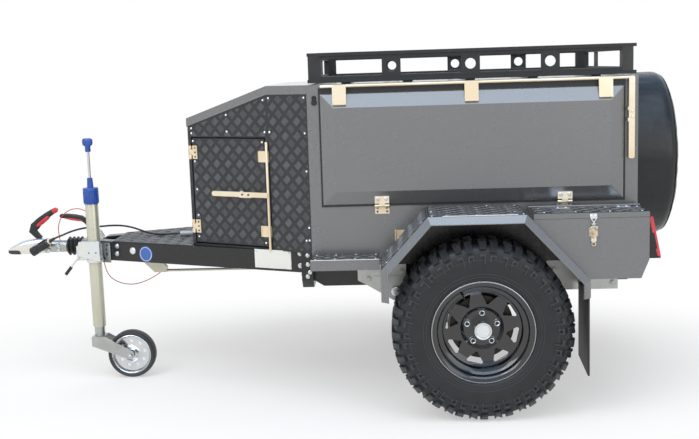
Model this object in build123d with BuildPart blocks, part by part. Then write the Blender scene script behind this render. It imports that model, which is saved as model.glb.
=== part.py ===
from build123d import *
import math
import os

# Off-road box trailer, in millimetres.
# Origin: bottom centre of the whole trailer, on the ground it stands on.
# +X runs from the coupling to the spare wheel, -Y is the trailer's left side, +Z is up.

os.makedirs("parts", exist_ok=True)

# Lengths from the coupling's nose to the spare wheel cover's rear face, and the body's half-width
coupling_to_body = 1524.0
body_length = 1361.0
cover_gap = 0.3
cover_depth = 235.0
nose_x = -(coupling_to_body + body_length + cover_gap + cover_depth) / 2
body_x = nose_x + coupling_to_body
rear_x = body_x + body_length
axle_setback = 696.0
axle_x = body_x + axle_setback
body_half = 585.0
cut_half = 2 * body_half

# Wheels
tyre_radius = 366.5
tyre_width = 235.0
tyre_bead_radius = 196.0
rim_flange_radius = 208.0
rim_width = 203.0
rim_wall = 5.0
well_radius = 168.0
bead_gap = 0.25
wheel_gap = 64.5
wheel_y = body_half + wheel_gap + tyre_width / 2
axle_z = tyre_radius
tread_depth = 11.5
lug_pairs = 22
hub_radius = 76.0
hub_thickness = 12.0
disc_rise = 12.0
disc_sheet = 5.0
window_count = 8
window_circle_radius = 117.0
window_radius = 30.0
window_start = -13.0
nut_count = 5
nut_circle_radius = 63.5
nut_radius = 10.0
nut_height = 20.0
cap_radius = 36.0
cap_length = 68.0
cap_edge = 3.0
drum_radius = 130.0
drum_width = 62.0
stub_radius = 20.0
stub_clearance = 0.05

# Chassis
rail_inset = 85.0
rail_half = body_half - rail_inset
rail_width = 50.0
rail_height = 105.0
rail_top = 598.0
rail_end_gap = 20.0
rail_toe_length = 40.0
rail_toe_rise = 25.0
crossmember_width = 50.0
crossmember_height = 80.0
crossmember_count = 4
first_member_setback = 60.0
front_member_depth = 50.0
front_member_inset = 25.0
front_member_half = body_half - front_member_inset
front_member_corner = 40.0

# Drawbar
beam_height = 90.0
beam_width = 60.0
drawbar_top = 650.0
beam_front_half = 100.0
beam_rear_inset = 28.0
beam_rear_half = front_member_half - beam_rear_inset
housing_to_nose = 471.0
beam_front_x = nose_x + housing_to_nose
beam_rear_x = body_x - front_member_depth
beam_slope = (beam_rear_half - beam_front_half) / (beam_rear_x - beam_front_x)
deck_thickness = 3.0
deck_setback = 76.0

# Suspension
spring_inset = 41.0
spring_y = rail_half + spring_inset
spring_width = 60.0
spring_eye_setback = 345.0
spring_eye_z = 481.0
leaf_thickness = 8.0
leaf_count = 5
axle_tube = 60.0
hanger_plate = 6.0
eye_bolt_head = 10.0
slipper_radius = 14.0
slipper_gap = 0.3
slipper_inset = 20.0

# Box body
body_wall = 25.0
body_top = 1360.0
roof_thickness = 25.0
door_base_gap = 1.0
door_front = 56.0
door_rear = 60.0
door_bottom = 857.0
door_top = body_top - 40.0
door_lap = 22.0
door_rim = 6.0
door_rise = 25.0
door_bevel = 57.0
door_plug = 20.0
door_clear = 6.0

# Nose box on the drawbar
nose_wall = 15.0
nose_length = 567.0
nose_crease = 182.0
nose_front_half = 270.0
nose_crease_half = 470.0
nose_rear_inset = 8.0
nose_rear_half = body_half - nose_rear_inset
nose_front_top = 1225.0
lid_band = 38.0
lid_sheet = 4.0
lid_top = 12.0
nose_door_gap = 5.0
nose_door_inset = 22.0
nose_door_length = 392.0
nose_door_bottom = 664.0
nose_door_top = 1135.0

# Side steps, fenders and side boxes
step_width = 115.0
step_half = body_half + step_width
step_height = 45.0
step_top = 643.0
sheet = 3.0
fender_width = 315.0
fender_half = body_half + fender_width
fender_top = 837.0
fender_chamfer = 28.0
fender_lip = 31.0
fender_foot = 500.0
fender_front_x = axle_x - 403.0
fender_front_knee = 628.0
fender_top_front_x = axle_x - 213.0
fender_top_rear_x = axle_x + 175.0
fender_rear_knee = 572.0
fender_rear_x = axle_x + 422.0
box_width = 215.0
box_half = body_half + box_width
box_wall = 4.0
box_seat = 0.5
ledge_width = 36.0
lid_front_gap = 6.0
box_bottom = 560.0
box_lid_top = 828.0
box_lid_band = 22.0
box_corner_x = 31.0
box_corner_z = 76.0
lid_gap = 1.0
lid_pin_radius = 2.0
lid_knuckle_radius = 4.0
lid_leaf = 2.3
lid_leaf_width = 20.0
lid_pin_y = body_half + ledge_width + lid_gap / 2
lid_pin_z = box_lid_top + lid_knuckle_radius + 0.3
lid_hinge_end = 40.0

# Roof rack
rack_inset = 15.0
rack_half = body_half - rack_inset
rack_end_gap = 4.0
rack_plate = 6.0
rack_end_plate_y = 300.0
rack_clearance = 6.0
rack_height = 124.0
rack_bottom = body_top + rack_clearance
rack_top = rack_bottom + rack_height
rack_rail = 28.0
rack_depth = 25.0
rack_corner = 60.0
rack_stations = 3
rack_station_pitch = 326.0
rack_plate_width = 78.0
rack_hole = 43.0

# Spare wheel cover
cover_radius = 376.0
cover_z = 989.0
cover_round = 45.0

# Jockey stand
jockey_x = nose_x + 462.0
jockey_y = -146.0
jockey_tube_radius = 30.0
jockey_inner_radius = 24.0
jockey_tube_bottom = 250.0
jockey_tube_top = 834.0
jockey_wheel_radius = 113.0
jockey_wheel_width = 62.0
jockey_trail = 150.0
jockey_axle_radius = 8.0
jockey_gap = 0.3


def write(part, name):
    """Label a finished piece and write it under its own name."""
    part.label = name
    export_step(part, f"parts/{name}.step")


def write_pair(left, name):
    """Write a left-hand piece and its mirror image on the right."""
    write(left, f"{name}_left")
    with BuildPart() as right:
        mirror(left, about=Plane.XZ)
    write(right.part, f"{name}_right")


def both_sides(left):
    """One node that holds a left-hand piece and its mirror image."""
    with BuildPart() as pair:
        add(left)
        mirror(left, about=Plane.XZ)
    return pair.part


def beam_half(x):
    """Half-width over the drawbar beams' outer faces at x."""
    return beam_front_half + beam_slope * (x - beam_front_x)


# Chassis rails
rail_x = body_x
rail_end = rear_x - rail_end_gap
with BuildPart() as rail:
    with BuildSketch(Plane.XZ.offset(rail_half - rail_width)):
        with BuildLine():
            Polyline((rail_x, rail_top), (rail_end, rail_top), (rail_end, rail_top - rail_height),
                     (rail_x + rail_toe_length, rail_top - rail_height),
                     (rail_x, rail_top - rail_height + rail_toe_rise),
                     close=True)
        make_face()
    extrude(amount=rail_width)
write(both_sides(rail.part), "chassis_rails")

# Crossmembers between the rails, and the wider member that the drawbar runs into
member_span = 2 * (rail_half - rail_width)
first_member_x = rail_x + first_member_setback
member_pitch = (rail_end - first_member_x - crossmember_width) / (crossmember_count - 1)
with BuildPart() as members:
    for index in range(crossmember_count):
        centre_x = first_member_x + crossmember_width / 2 + index * member_pitch
        with Locations((centre_x, 0, rail_top)):
            Box(crossmember_width, member_span, crossmember_height,
                align=(Align.CENTER, Align.CENTER, Align.MAX))
    rail_bottom = rail_top - rail_height
    with BuildSketch(Plane.YZ.offset(beam_rear_x)):
        with BuildLine():
            Polyline((-front_member_half, drawbar_top), (front_member_half, drawbar_top),
                     (front_member_half, rail_bottom + front_member_corner),
                     (front_member_half - front_member_corner, rail_bottom),
                     (front_member_corner - front_member_half, rail_bottom),
                     (-front_member_half, rail_bottom + front_member_corner), close=True)
        make_face()
    extrude(amount=front_member_depth)
write(members.part, "crossmembers")

# Drawbar beams, converging on the coupling
beam_inner = beam_width * math.hypot(1, beam_slope)
with BuildPart() as beam:
    with BuildSketch(Plane.XY.offset(drawbar_top - beam_height)):
        with BuildLine():
            Polyline((beam_front_x, -beam_front_half), (beam_rear_x, -beam_rear_half),
                     (beam_rear_x, beam_inner - beam_rear_half),
                     (beam_front_x, beam_inner - beam_front_half), close=True)
        make_face()
    extrude(amount=beam_height)
write(both_sides(beam.part), "drawbar_beams")

nose_box_x = body_x - nose_length
with BuildPart() as deck:
    deck_front_x = beam_front_x + deck_setback
    with BuildSketch(Plane.XY.offset(drawbar_top)):
        with BuildLine():
            Polyline((deck_front_x, -beam_half(deck_front_x)), (nose_box_x, -beam_half(nose_box_x)),
                     (nose_box_x, beam_half(nose_box_x)), (deck_front_x, beam_half(deck_front_x)),
                     close=True)
        make_face()
    extrude(amount=deck_thickness)
write(deck.part, "drawbar_deck")

# Overrun housing between the beams, with plates bolted over their front ends
housing_half = 50.0
housing_bottom = 546.0
housing_top = 648.0
housing_length = 100.0
housing_corner = 14.0
cheek_plate = 6.0
cheek_length = 62.0
cheek_inset = 4.0
housing_front_x = beam_front_x - housing_length
with BuildPart() as housing:
    with BuildSketch(Plane.YZ.offset(housing_front_x)):
        with Locations((0, (housing_bottom + housing_top) / 2)):
            RectangleRounded(2 * housing_half, housing_top - housing_bottom, housing_corner)
    extrude(amount=housing_length - cheek_plate)
    with BuildSketch(Plane.YZ.offset(beam_front_x - cheek_plate)):
        with Locations((0, (housing_bottom + housing_top) / 2)):
            Rectangle(2 * (beam_front_half + cheek_plate), housing_top - housing_bottom)
    extrude(amount=cheek_plate)
    for side in (-1, 1):
        with BuildSketch(Plane.XY.offset(housing_bottom + cheek_inset)):
            with BuildLine():
                plate_end = beam_front_x + cheek_length
                Polyline((beam_front_x, side * beam_front_half),
                         (plate_end, side * beam_half(plate_end)),
                         (plate_end, side * (beam_half(plate_end) + cheek_plate)),
                         (beam_front_x, side * (beam_front_half + cheek_plate)), close=True)
            make_face()
        extrude(amount=housing_top - housing_bottom - 2 * cheek_inset)
write(housing.part, "overrun_housing")

# Bellows over the coupling's draw tube
coupling_z = 613.0
bellows_length = 80.0
bellows_outer = 46.0
bellows_inner = 34.0
bellows_folds = 4
with BuildPart() as bellows:
    with BuildSketch(Plane.XZ):
        with BuildLine():
            start_x = housing_front_x - bellows_length
            pitch = bellows_length / bellows_folds
            points = [(start_x, 0), (start_x, bellows_inner)]
            for index in range(bellows_folds):
                points.append((start_x + (index + 0.5) * pitch, bellows_outer))
                points.append((start_x + (index + 1) * pitch, bellows_inner))
            points.append((housing_front_x, 0))
            Polyline(*points, close=True)
        make_face()
    revolve(axis=Axis.X)
bellows_part = bellows.part.moved(Location((0, 0, coupling_z)))
write(bellows_part, "bellows")

# Coupling head: a pressed shell with a socket for the ball, a collar and a draw tube
head_rear_x = housing_front_x - bellows_length
ball_setback = 46.0
ball_z = 600.0
ball_radius = 26.0
collar_x = nose_x + 180.0
collar_length = 18.0
collar_radius = 31.0
draw_tube_radius = 29.0
shell_top = 655.0
anchor_radius = 5.0
anchor_top = 646.2
anchor_place = (head_rear_x - 34.85, -12.0)
# Shell sections: distance from the nose, half-width, low z, high z, corner radius
shell_sections = ((0, 20, 584, 606, 8), (20, 31.5, 582, 620, 12), (70, 36, 580, 643, 14),
                  (130, 34, 579, shell_top, 16), (182, 27, 583, shell_top, 18))
with BuildPart() as head:
    for setback, half, low, high, corner in shell_sections:
        with BuildSketch(Plane.YZ.offset(nose_x + setback)):
            with Locations((0, (low + high) / 2)):
                RectangleRounded(2 * half, high - low, corner)
    loft(ruled=True)
    with BuildSketch(Plane.YZ.offset(collar_x)):
        with Locations((0, coupling_z)):
            Circle(collar_radius)
    extrude(amount=collar_length)
    with BuildSketch(Plane.YZ.offset(collar_x)):
        with Locations((0, coupling_z)):
            Circle(draw_tube_radius)
    extrude(amount=head_rear_x - collar_x)
    with Locations((*anchor_place, coupling_z)):
        Cylinder(anchor_radius, anchor_top - coupling_z, align=(Align.CENTER, Align.CENTER, Align.MIN))
    with Locations((nose_x + ball_setback, 0, ball_z)):
        Sphere(ball_radius, mode=Mode.SUBTRACT)
        Cylinder(ball_radius, ball_radius, align=(Align.CENTER, Align.CENTER, Align.MAX), mode=Mode.SUBTRACT)
write(head.part, "coupling_head")

# Leaf springs: shortening leaves on one camber, the longest with an eye at its front
eye_radius = 22.0
seat_z = axle_z + axle_tube / 2
pack_top = seat_z + leaf_count * leaf_thickness
camber = spring_eye_z - eye_radius - pack_top + leaf_thickness
half_span = spring_eye_setback
camber_radius = (half_span**2 + camber**2) / (2 * camber)
with BuildPart() as spring:
    for index in range(leaf_count):
        reach = half_span * (index + 1) / leaf_count
        low = seat_z + index * leaf_thickness
        angle = math.asin(reach / (camber_radius - low + seat_z))
        with BuildSketch(Plane.XZ.offset(spring_y - spring_width / 2)):
            with BuildLine():
                centre = (axle_x, seat_z + camber_radius)
                inner = camber_radius - (index + 1) * leaf_thickness
                outer = camber_radius - index * leaf_thickness
                start = -90 - math.degrees(angle)
                sweep_angle = 2 * math.degrees(angle)
                lower = CenterArc(centre, outer, start, sweep_angle)
                upper = CenterArc(centre, inner, start, sweep_angle)
                Line(lower @ 0, upper @ 0)
                Line(lower @ 1, upper @ 1)
            make_face()
        extrude(amount=spring_width)
    with BuildSketch(Plane.XZ.offset(spring_y - spring_width / 2)):
        with Locations((axle_x - spring_eye_setback, spring_eye_z)):
            Circle(eye_radius)
    extrude(amount=spring_width)
    with BuildSketch(Plane.XZ.offset(spring_y - spring_width / 2)):
        with Locations((axle_x - spring_eye_setback, spring_eye_z)):
            Circle(eye_radius - leaf_thickness)
    extrude(amount=spring_width, mode=Mode.SUBTRACT)
write(both_sides(spring.part), "leaf_springs")

# Spring hangers: folded channels bolted to the rails' outer faces
hanger_outer = spring_y + spring_width / 2 + 1.0 + hanger_plate
hanger_pin_gap = 0.3
# Plate outlines in side view: distance behind the axle, height
front_plate = ((-506, rail_top), (-506, 530), (-462, 506), (-356, 441), (-322, 441), (-300, 500),
               (-300, rail_top))
rear_plate = ((290, rail_top), (290, 500), (312, 471), (587, 471), (587, rail_top))
pin_reach = camber_radius - leaf_count * leaf_thickness - slipper_radius - slipper_gap
pin_angle = math.asin((half_span - slipper_inset) / pin_reach)
with BuildPart() as hangers:
    for plate in (front_plate, rear_plate):
        outline = [(axle_x + setback, height) for setback, height in plate]
        top_front = outline[0][0]
        top_rear = outline[-1][0]
        for inner_y in (rail_half, hanger_outer - hanger_plate):
            with BuildSketch(Plane.XZ.offset(inner_y)):
                with BuildLine():
                    Polyline(*outline, close=True)
                make_face()
            extrude(amount=hanger_plate)
        with BuildSketch(Plane.XZ.offset(rail_half)):
            with Locations(((top_front + top_rear) / 2, rail_top - hanger_plate / 2)):
                Rectangle(top_rear - top_front, hanger_plate)
        extrude(amount=hanger_outer - rail_half)
    with BuildSketch(Plane.XZ.offset(rail_half)):
        with Locations((axle_x - spring_eye_setback, spring_eye_z)):
            Circle(eye_radius - leaf_thickness - hanger_pin_gap)
    extrude(amount=hanger_outer - rail_half + eye_bolt_head)
    with BuildSketch(Plane.XZ.offset(rail_half)):
        with Locations((axle_x + pin_reach * math.sin(pin_angle),
                        seat_z + camber_radius - pin_reach * math.cos(pin_angle))):
            Circle(slipper_radius)
    extrude(amount=hanger_outer - rail_half)
write(both_sides(hangers.part), "spring_hangers")

# Axle beam with its stubs
drum_inner_y = wheel_y - drum_width
stub_end_gap = 2.0
backing_gap = 1.0
backing_plate = 20.0
backing_rim = 4.0
stub_root = 22.0
stub_length = drum_width + stub_root - stub_end_gap
with BuildPart() as axle:
    with Locations((axle_x, 0, axle_z)):
        Box(axle_tube, 2 * (drum_inner_y - stub_root), axle_tube)
    for side in (-1, 1):
        with Locations((axle_x, side * (drum_inner_y - backing_gap - backing_plate / 2), axle_z)):
            Cylinder(drum_radius + backing_rim, backing_plate, rotation=(90, 0, 0))
        with Locations((axle_x, side * (drum_inner_y - stub_root + stub_length / 2), axle_z)):
            Cylinder(stub_radius, stub_length, rotation=(90, 0, 0))
write(axle.part, "axle_beam")

# Wheels, modelled about the axle line and then set at each side
half_tyre = tyre_width / 2
half_rim = rim_width / 2
lip_y = half_rim - 6.0
bead_y = half_rim - 12.0
root_radius = tyre_radius - tread_depth
lug_pitch = 360 / lug_pairs
# Shoulder lugs of a pitch: inner half-width, foot radius, angle covered, angle from the pitch's start
lug_forms = ((52.0, 300.0, 4.9, 0.0), (62.0, 318.0, 4.5, lug_pitch / 2))


def about_axle(points, arc=360):
    """Revolve (radius, distance from the wheel's middle) points about the axle line."""
    with BuildPart() as turned:
        with BuildSketch(Plane.XY):
            with BuildLine():
                Polyline(*points, close=True)
            make_face()
        revolve(axis=Axis.Y, revolution_arc=arc)
    return turned.part


with BuildPart() as tyre:
    side_wall = [(tyre_bead_radius + bead_gap, bead_y - bead_gap),
                 (rim_flange_radius + bead_gap, lip_y - bead_gap),
                 (236, half_tyre - 6), (281, half_tyre), (322, half_tyre - 5), (344, half_tyre - 18),
                 (root_radius, half_tyre - 38)]
    add(about_axle([*side_wall, *[(r, -y) for r, y in reversed(side_wall)]]))
    lugs = []
    for inner, foot, arc, shift in lug_forms:
        section = [(foot - 4, inner), (tyre_radius, inner), (tyre_radius, half_tyre - 26),
                   (350, half_tyre - 8), (foot + 8, half_tyre), (foot, half_tyre - 1),
                   (foot - 4, half_tyre - 6)]
        for side in (-1, 1):
            lug = about_axle([(r, side * y) for r, y in section], arc)
            stagger = lug_pitch / 4 if side > 0 else 0
            lugs += [lug.moved(Location((0, 0, 0), (0, index * lug_pitch + shift + stagger, 0)))
                     for index in range(lug_pairs)]
    add(lugs)
wheel_seats = {"left": Location((axle_x, -wheel_y, axle_z)), "right": Location((axle_x, wheel_y, axle_z))}

# Rim: rolled flanges, bead seats and a well, with a dished disc that seats on the drum
disc_edge = 32.0
with BuildPart() as rim:
    outer = [(rim_flange_radius, -half_rim), (rim_flange_radius, -lip_y), (tyre_bead_radius, -bead_y),
             (tyre_bead_radius - 4, -60), (well_radius, -36), (well_radius, 6), (tyre_bead_radius - 4, 32),
             (tyre_bead_radius, bead_y), (rim_flange_radius, lip_y), (rim_flange_radius, half_rim)]
    inner = [(r - rim_wall, y) for r, y in reversed(outer[1:-1])]
    add(about_axle([*outer, (rim_flange_radius - rim_wall, half_rim), *inner,
                    (rim_flange_radius - rim_wall, -half_rim)]))
    disc_face = [(0, -hub_thickness), (hub_radius, -hub_thickness), (90, -hub_thickness - disc_rise),
                 (128, -20), (141, -22), (well_radius - rim_wall + 1, -disc_edge - disc_sheet)]
    disc_back = [(well_radius - rim_wall + 1, -disc_edge), (141, -22 + disc_sheet), (128, -20 + disc_sheet),
                 (92, disc_sheet - hub_thickness - disc_rise), (hub_radius, 0), (0, 0)]
    add(about_axle([*disc_face, *disc_back]))
    with BuildSketch(Plane.XZ):
        with PolarLocations(window_circle_radius, window_count, start_angle=window_start):
            RegularPolygon(window_radius, 3, rotation=180)
        fillet(vertices(), 6)
    extrude(amount=3 * hub_thickness + disc_rise, mode=Mode.SUBTRACT)
    cap_end = -hub_thickness - cap_length
    add(about_axle([(0, -hub_thickness), (cap_radius, -hub_thickness), (cap_radius, cap_end + cap_edge),
                    (cap_radius - cap_edge, cap_end), (0, cap_end)]))
    with BuildSketch(Plane.XZ.offset(hub_thickness)):
        with PolarLocations(nut_circle_radius, nut_count, start_angle=90):
            RegularPolygon(nut_radius, 6)
    extrude(amount=nut_height)
with BuildPart() as drum:
    with BuildSketch(Plane.XZ):
        Circle(drum_radius)
        Circle(stub_radius + stub_clearance, mode=Mode.SUBTRACT)
    extrude(amount=-drum_width)
for side, seat in wheel_seats.items():
    turn = Location((0, 0, 0), (0, 0, 0 if side == "left" else 180))
    write(tyre.part.moved(seat * turn), f"tyre_{side}")
    write(rim.part.moved(seat * turn), f"rim_{side}")
    write(drum.part.moved(seat * turn), f"brake_drum_{side}")

# Butt hinges of the side doors: leaves, knuckles and the pin line
hinge_stand = 21.0
hinge_y = body_half + hinge_stand
hinge_drop = 5.0
hinge_z = door_bottom - hinge_drop
pin_radius = 3.0
pin_clearance = 0.05
knuckle_radius = 6.0
knuckle_gap = 0.5
hinge_leaf = 3.0
hinge_width = 60.0
knuckle_width = 24.0
hinge_setback = 302.0
hinge_top = door_bottom + 35.0
leaf_foot = door_bottom + 5.0
front_leaf_bottom = door_bottom - 42.0
rear_leaf_bottom = door_bottom - 27.0
leaf_run = 6.0
door_hinges = ((body_x + hinge_setback, front_leaf_bottom), (rear_x - hinge_setback, rear_leaf_bottom))

# Box body panels
with BuildPart() as floor:
    with Locations((body_x, 0, rail_top)):
        Box(body_length, 2 * body_half, body_wall, align=(Align.MIN, Align.CENTER, Align.MIN))
write(floor.part, "body_floor")
floor_top = rail_top + body_wall
roof_bottom = body_top - roof_thickness
with BuildPart() as end_walls:
    for wall_x in (body_x, rear_x - body_wall):
        with Locations((wall_x, 0, floor_top)):
            Box(body_wall, 2 * (body_half - body_wall), roof_bottom - floor_top,
                align=(Align.MIN, Align.CENTER, Align.MIN))
write(end_walls.part, "body_end_walls")
with BuildPart() as roof:
    with Locations((body_x, 0, roof_bottom)):
        Box(body_length, 2 * body_half, roof_thickness, align=(Align.MIN, Align.CENTER, Align.MIN))
write(roof.part, "body_roof")

opening_front = body_x + door_front + door_lap
opening_rear = rear_x - door_rear - door_lap
opening_bottom = door_bottom + door_lap
opening_top = door_top - door_lap
with BuildPart() as side_frame:
    with BuildSketch(Plane.XZ.offset(body_half - body_wall)):
        with Locations((body_x + body_length / 2, (floor_top + roof_bottom) / 2)):
            Rectangle(body_length, roof_bottom - floor_top)
        with Locations(((opening_front + opening_rear) / 2, (opening_bottom + opening_top) / 2)):
            Rectangle(opening_rear - opening_front, opening_top - opening_bottom, mode=Mode.SUBTRACT)
    extrude(amount=body_wall)
write(both_sides(side_frame.part), "body_sides")

# Side doors: a raised panel with wide bevels, and a plug that enters the opening
door_mid = (body_x + door_front + rear_x - door_rear) / 2
door_length = rear_x - door_rear - body_x - door_front
door_height = door_top - door_bottom
door_mid_z = (door_bottom + door_top) / 2
door_back = body_half + door_base_gap
with BuildPart() as door:
    with BuildSketch(Plane.XZ.offset(door_back)):
        with Locations((door_mid, door_mid_z)):
            Rectangle(door_length, door_height)
    extrude(amount=door_rim)
    with BuildSketch(Plane.XZ.offset(door_back + door_rim)):
        with Locations((door_mid, door_mid_z)):
            Rectangle(door_length, door_height)
    with BuildSketch(Plane.XZ.offset(door_back + door_rim + door_rise)):
        with Locations((door_mid, door_mid_z)):
            Rectangle(door_length - 2 * door_bevel, door_height - 2 * door_bevel)
    loft()
    with BuildSketch(Plane.XZ.offset(door_back - door_plug)):
        with Locations((door_mid, door_mid_z)):
            Rectangle(door_length - 2 * (door_lap + door_clear), door_height - 2 * (door_lap + door_clear))
    extrude(amount=door_plug)
write_pair(door.part, "side_door")


def bevel_y(z):
    """Distance of the door's lower bevel from the trailer's middle plane at height z."""
    return door_back + door_rim + (z - door_bottom) * door_rise / door_bevel


# Lock bar above each side door, with its clamp plates, its lever and the door's hinge leaves
bar_radius = 6.0
bar_z = door_top + 32.0
bar_y = door_back + 14.0
bar_front_x = body_x + 59.0
clamp_width = 57.0
clamp_foot_z = door_top - 44.0
clamp_foot_y = bar_y + 12.0
clamp_sheet = 4.0
clamp_places = (body_x + 137.0, body_x + body_length / 2, rear_x - 136.0)
lever_x = rear_x - 31.0
lever_width = 24.0
lever_sheet = 8.0
lever_length = 336.0
lever_end = 8.0
with BuildPart() as side_lock:
    with BuildSketch(Plane.YZ.offset(bar_front_x)):
        with Locations((-bar_y, bar_z)):
            Circle(bar_radius)
    extrude(amount=lever_x + lever_width / 2 - bar_front_x)
    for place in clamp_places:
        with BuildSketch(Plane.YZ.offset(place - clamp_width / 2)):
            with BuildLine():
                Polyline((-bar_y + 2, bar_z + 5), (-bar_y - bar_radius, bar_z + 5),
                         (-clamp_foot_y - clamp_sheet, clamp_foot_z), (-clamp_foot_y, clamp_foot_z),
                         close=True)
            make_face()
        extrude(amount=clamp_width)
    with BuildSketch(Plane.XZ.offset(bar_y + bar_radius - lever_sheet / 2)):
        with Locations((lever_x, bar_z + bar_radius - lever_length / 2)):
            RectangleRounded(lever_width, lever_length, lever_end)
    extrude(amount=lever_sheet)
    for hinge_x, leaf_bottom in door_hinges:
        with BuildSketch(Plane.YZ.offset(hinge_x - hinge_width / 2)):
            with BuildLine():
                Polyline((-bevel_y(hinge_top), hinge_top), (-bevel_y(hinge_top) - hinge_leaf, hinge_top),
                         (-hinge_y - knuckle_radius, leaf_foot), (-hinge_y + knuckle_radius, leaf_foot),
                         (-bevel_y(leaf_foot + leaf_run), leaf_foot + leaf_run), close=True)
            make_face()
        extrude(amount=hinge_width)
        with BuildSketch(Plane.YZ.offset(hinge_x - knuckle_width / 2)):
            with Locations((-hinge_y, hinge_z)):
                Circle(knuckle_radius)
            with Locations((-hinge_y, (hinge_z + leaf_foot + 1) / 2)):
                Rectangle(2 * knuckle_radius, leaf_foot + 1 - hinge_z)
            with Locations((-hinge_y, hinge_z)):
                Circle(pin_radius + pin_clearance, mode=Mode.SUBTRACT)
        extrude(amount=knuckle_width)
write_pair(side_lock.part, "side_door_fittings")

# Fixed hinge leaves of the side doors, on the body's sides, with the pins
knuckle_end = (hinge_width - knuckle_width) / 2 - knuckle_gap
with BuildPart() as fixed_hinges:
    for hinge_x, leaf_bottom in door_hinges:
        with BuildSketch(Plane.YZ.offset(hinge_x - hinge_width / 2)):
            with Locations((-body_half - hinge_leaf / 2, (leaf_bottom + hinge_z - knuckle_radius) / 2)):
                Rectangle(hinge_leaf, hinge_z - knuckle_radius - leaf_bottom)
            with Locations((-hinge_y, hinge_z)):
                Circle(pin_radius)
        extrude(amount=hinge_width)
        for end in (hinge_x - hinge_width / 2, hinge_x + hinge_width / 2 - knuckle_end):
            with BuildSketch(Plane.YZ.offset(end)):
                with BuildLine():
                    Polyline((-body_half, hinge_z - knuckle_radius), (-hinge_y + 3.5, hinge_z + 4.8),
                             (-hinge_y, hinge_z), (-hinge_y - 3, hinge_z - 5.1),
                             (-body_half - hinge_leaf, hinge_z - 14), (-body_half, hinge_z - 14), close=True)
                make_face()
                with Locations((-hinge_y, hinge_z)):
                    Circle(knuckle_radius)
            extrude(amount=knuckle_end)
write(both_sides(fixed_hinges.part), "side_door_hinges")

# Nose box: walls that follow the drawbar's taper, under a sloping lid
nose_top = body_top
crease_x = body_x - nose_crease


def nose_outline(grow, extend=0):
    """Plan outline of the nose box, left rear to right rear, its rear edge moved aft by extend."""
    first = math.atan2(nose_crease_half - nose_front_half, crease_x - nose_box_x)
    second = math.atan2(nose_rear_half - nose_crease_half, nose_crease)
    corner = grow * math.tan((math.pi / 2 - first) / 2)
    bend = grow * math.tan((second - first) / 2)
    left = [(body_x + extend, -nose_rear_half - grow / math.cos(second) - extend * math.tan(second)),
            (crease_x - grow * math.sin(first) - bend * math.cos(first),
             -nose_crease_half - grow * math.cos(first) + bend * math.sin(first)),
            (nose_box_x - grow, -nose_front_half - corner)]
    return left + [(x, -y) for x, y in reversed(left)]


nose_slope = (nose_top - nose_front_top) / (crease_x - nose_box_x)
nose_tall = nose_top - drawbar_top
overcut = 60.0


def nose_profile(drop):
    """Side profile below the lid's surface, lowered by drop and run past the front by overcut."""
    return [(nose_box_x - overcut, drawbar_top), (body_x, drawbar_top), (body_x, nose_top - drop),
            (crease_x, nose_top - drop), (nose_box_x - overcut, nose_front_top - drop - overcut * nose_slope)]


floor_sheet = 3.0
with BuildPart() as nose_floor:
    with BuildSketch(Plane.XY.offset(drawbar_top)):
        with BuildLine():
            Polyline(*nose_outline(0), close=True)
        make_face()
    extrude(amount=floor_sheet)
write(nose_floor.part, "nose_floor")

with BuildPart() as nose_walls:
    with BuildSketch(Plane.XZ.offset(-cut_half)):
        with BuildLine():
            Polyline(*nose_profile(lid_top), close=True)
        make_face()
    extrude(amount=2 * cut_half)
    with BuildSketch(Plane.XY.offset(drawbar_top + floor_sheet)):
        with BuildLine():
            Polyline(*nose_outline(0), close=True)
        make_face()
    extrude(amount=2 * nose_tall, mode=Mode.INTERSECT)
    with BuildSketch(Plane.XY.offset(drawbar_top)):
        with BuildLine():
            Polyline(*nose_outline(-nose_wall, 1), close=True)
        make_face()
    extrude(amount=2 * nose_tall, mode=Mode.SUBTRACT)
with BuildPart() as nose_front:
    add(nose_walls.part)
    with Locations((nose_box_x, 0, nose_top)):
        Box(2 * nose_wall, 2 * cut_half, 2 * nose_tall, mode=Mode.INTERSECT)
write(nose_front.part, "nose_front_panel")

side_angle = math.atan2(nose_crease_half - nose_front_half, crease_x - nose_box_x)
side_along = Vector(math.cos(side_angle), -math.sin(side_angle), 0)
side_out = Vector(-math.sin(side_angle), -math.cos(side_angle), 0)
side_plane = Plane(origin=(nose_box_x, -nose_front_half, 0), x_dir=side_along, z_dir=side_out)
nose_door_mid = nose_door_inset + nose_door_length / 2
nose_door_mid_z = (nose_door_bottom + nose_door_top) / 2
nose_door_height = nose_door_top - nose_door_bottom
with BuildPart() as nose_side:
    add(nose_walls.part)
    with Locations((nose_box_x + nose_wall, 0, 0)):
        Box(nose_length, cut_half, nose_top, align=(Align.MIN, Align.MAX, Align.MIN), mode=Mode.INTERSECT)
    with BuildSketch(side_plane.offset(-2 * nose_wall)):
        with Locations((nose_door_mid, nose_door_mid_z)):
            Rectangle(nose_door_length + 2 * nose_door_gap, nose_door_height + 2 * nose_door_gap)
    extrude(amount=3 * nose_wall, mode=Mode.SUBTRACT)
write(both_sides(nose_side.part), "nose_sides")

with BuildPart() as nose_door:
    with BuildSketch(side_plane.offset(-nose_wall)):
        with Locations((nose_door_mid, nose_door_mid_z)):
            Rectangle(nose_door_length, nose_door_height)
    extrude(amount=nose_wall)
write_pair(nose_door.part, "nose_door")

nose_pin = (16.0, 7.0)
nose_hinge_mids = (nose_door_bottom + 74.0, nose_door_top - 63.0)


def side_points(*places):
    """Plan points from distances along and out from the nose box's left side."""
    points = [side_plane.from_local_coords((along, 0, out)) for along, out in places]
    return [(point.X, point.Y) for point in points]


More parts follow.
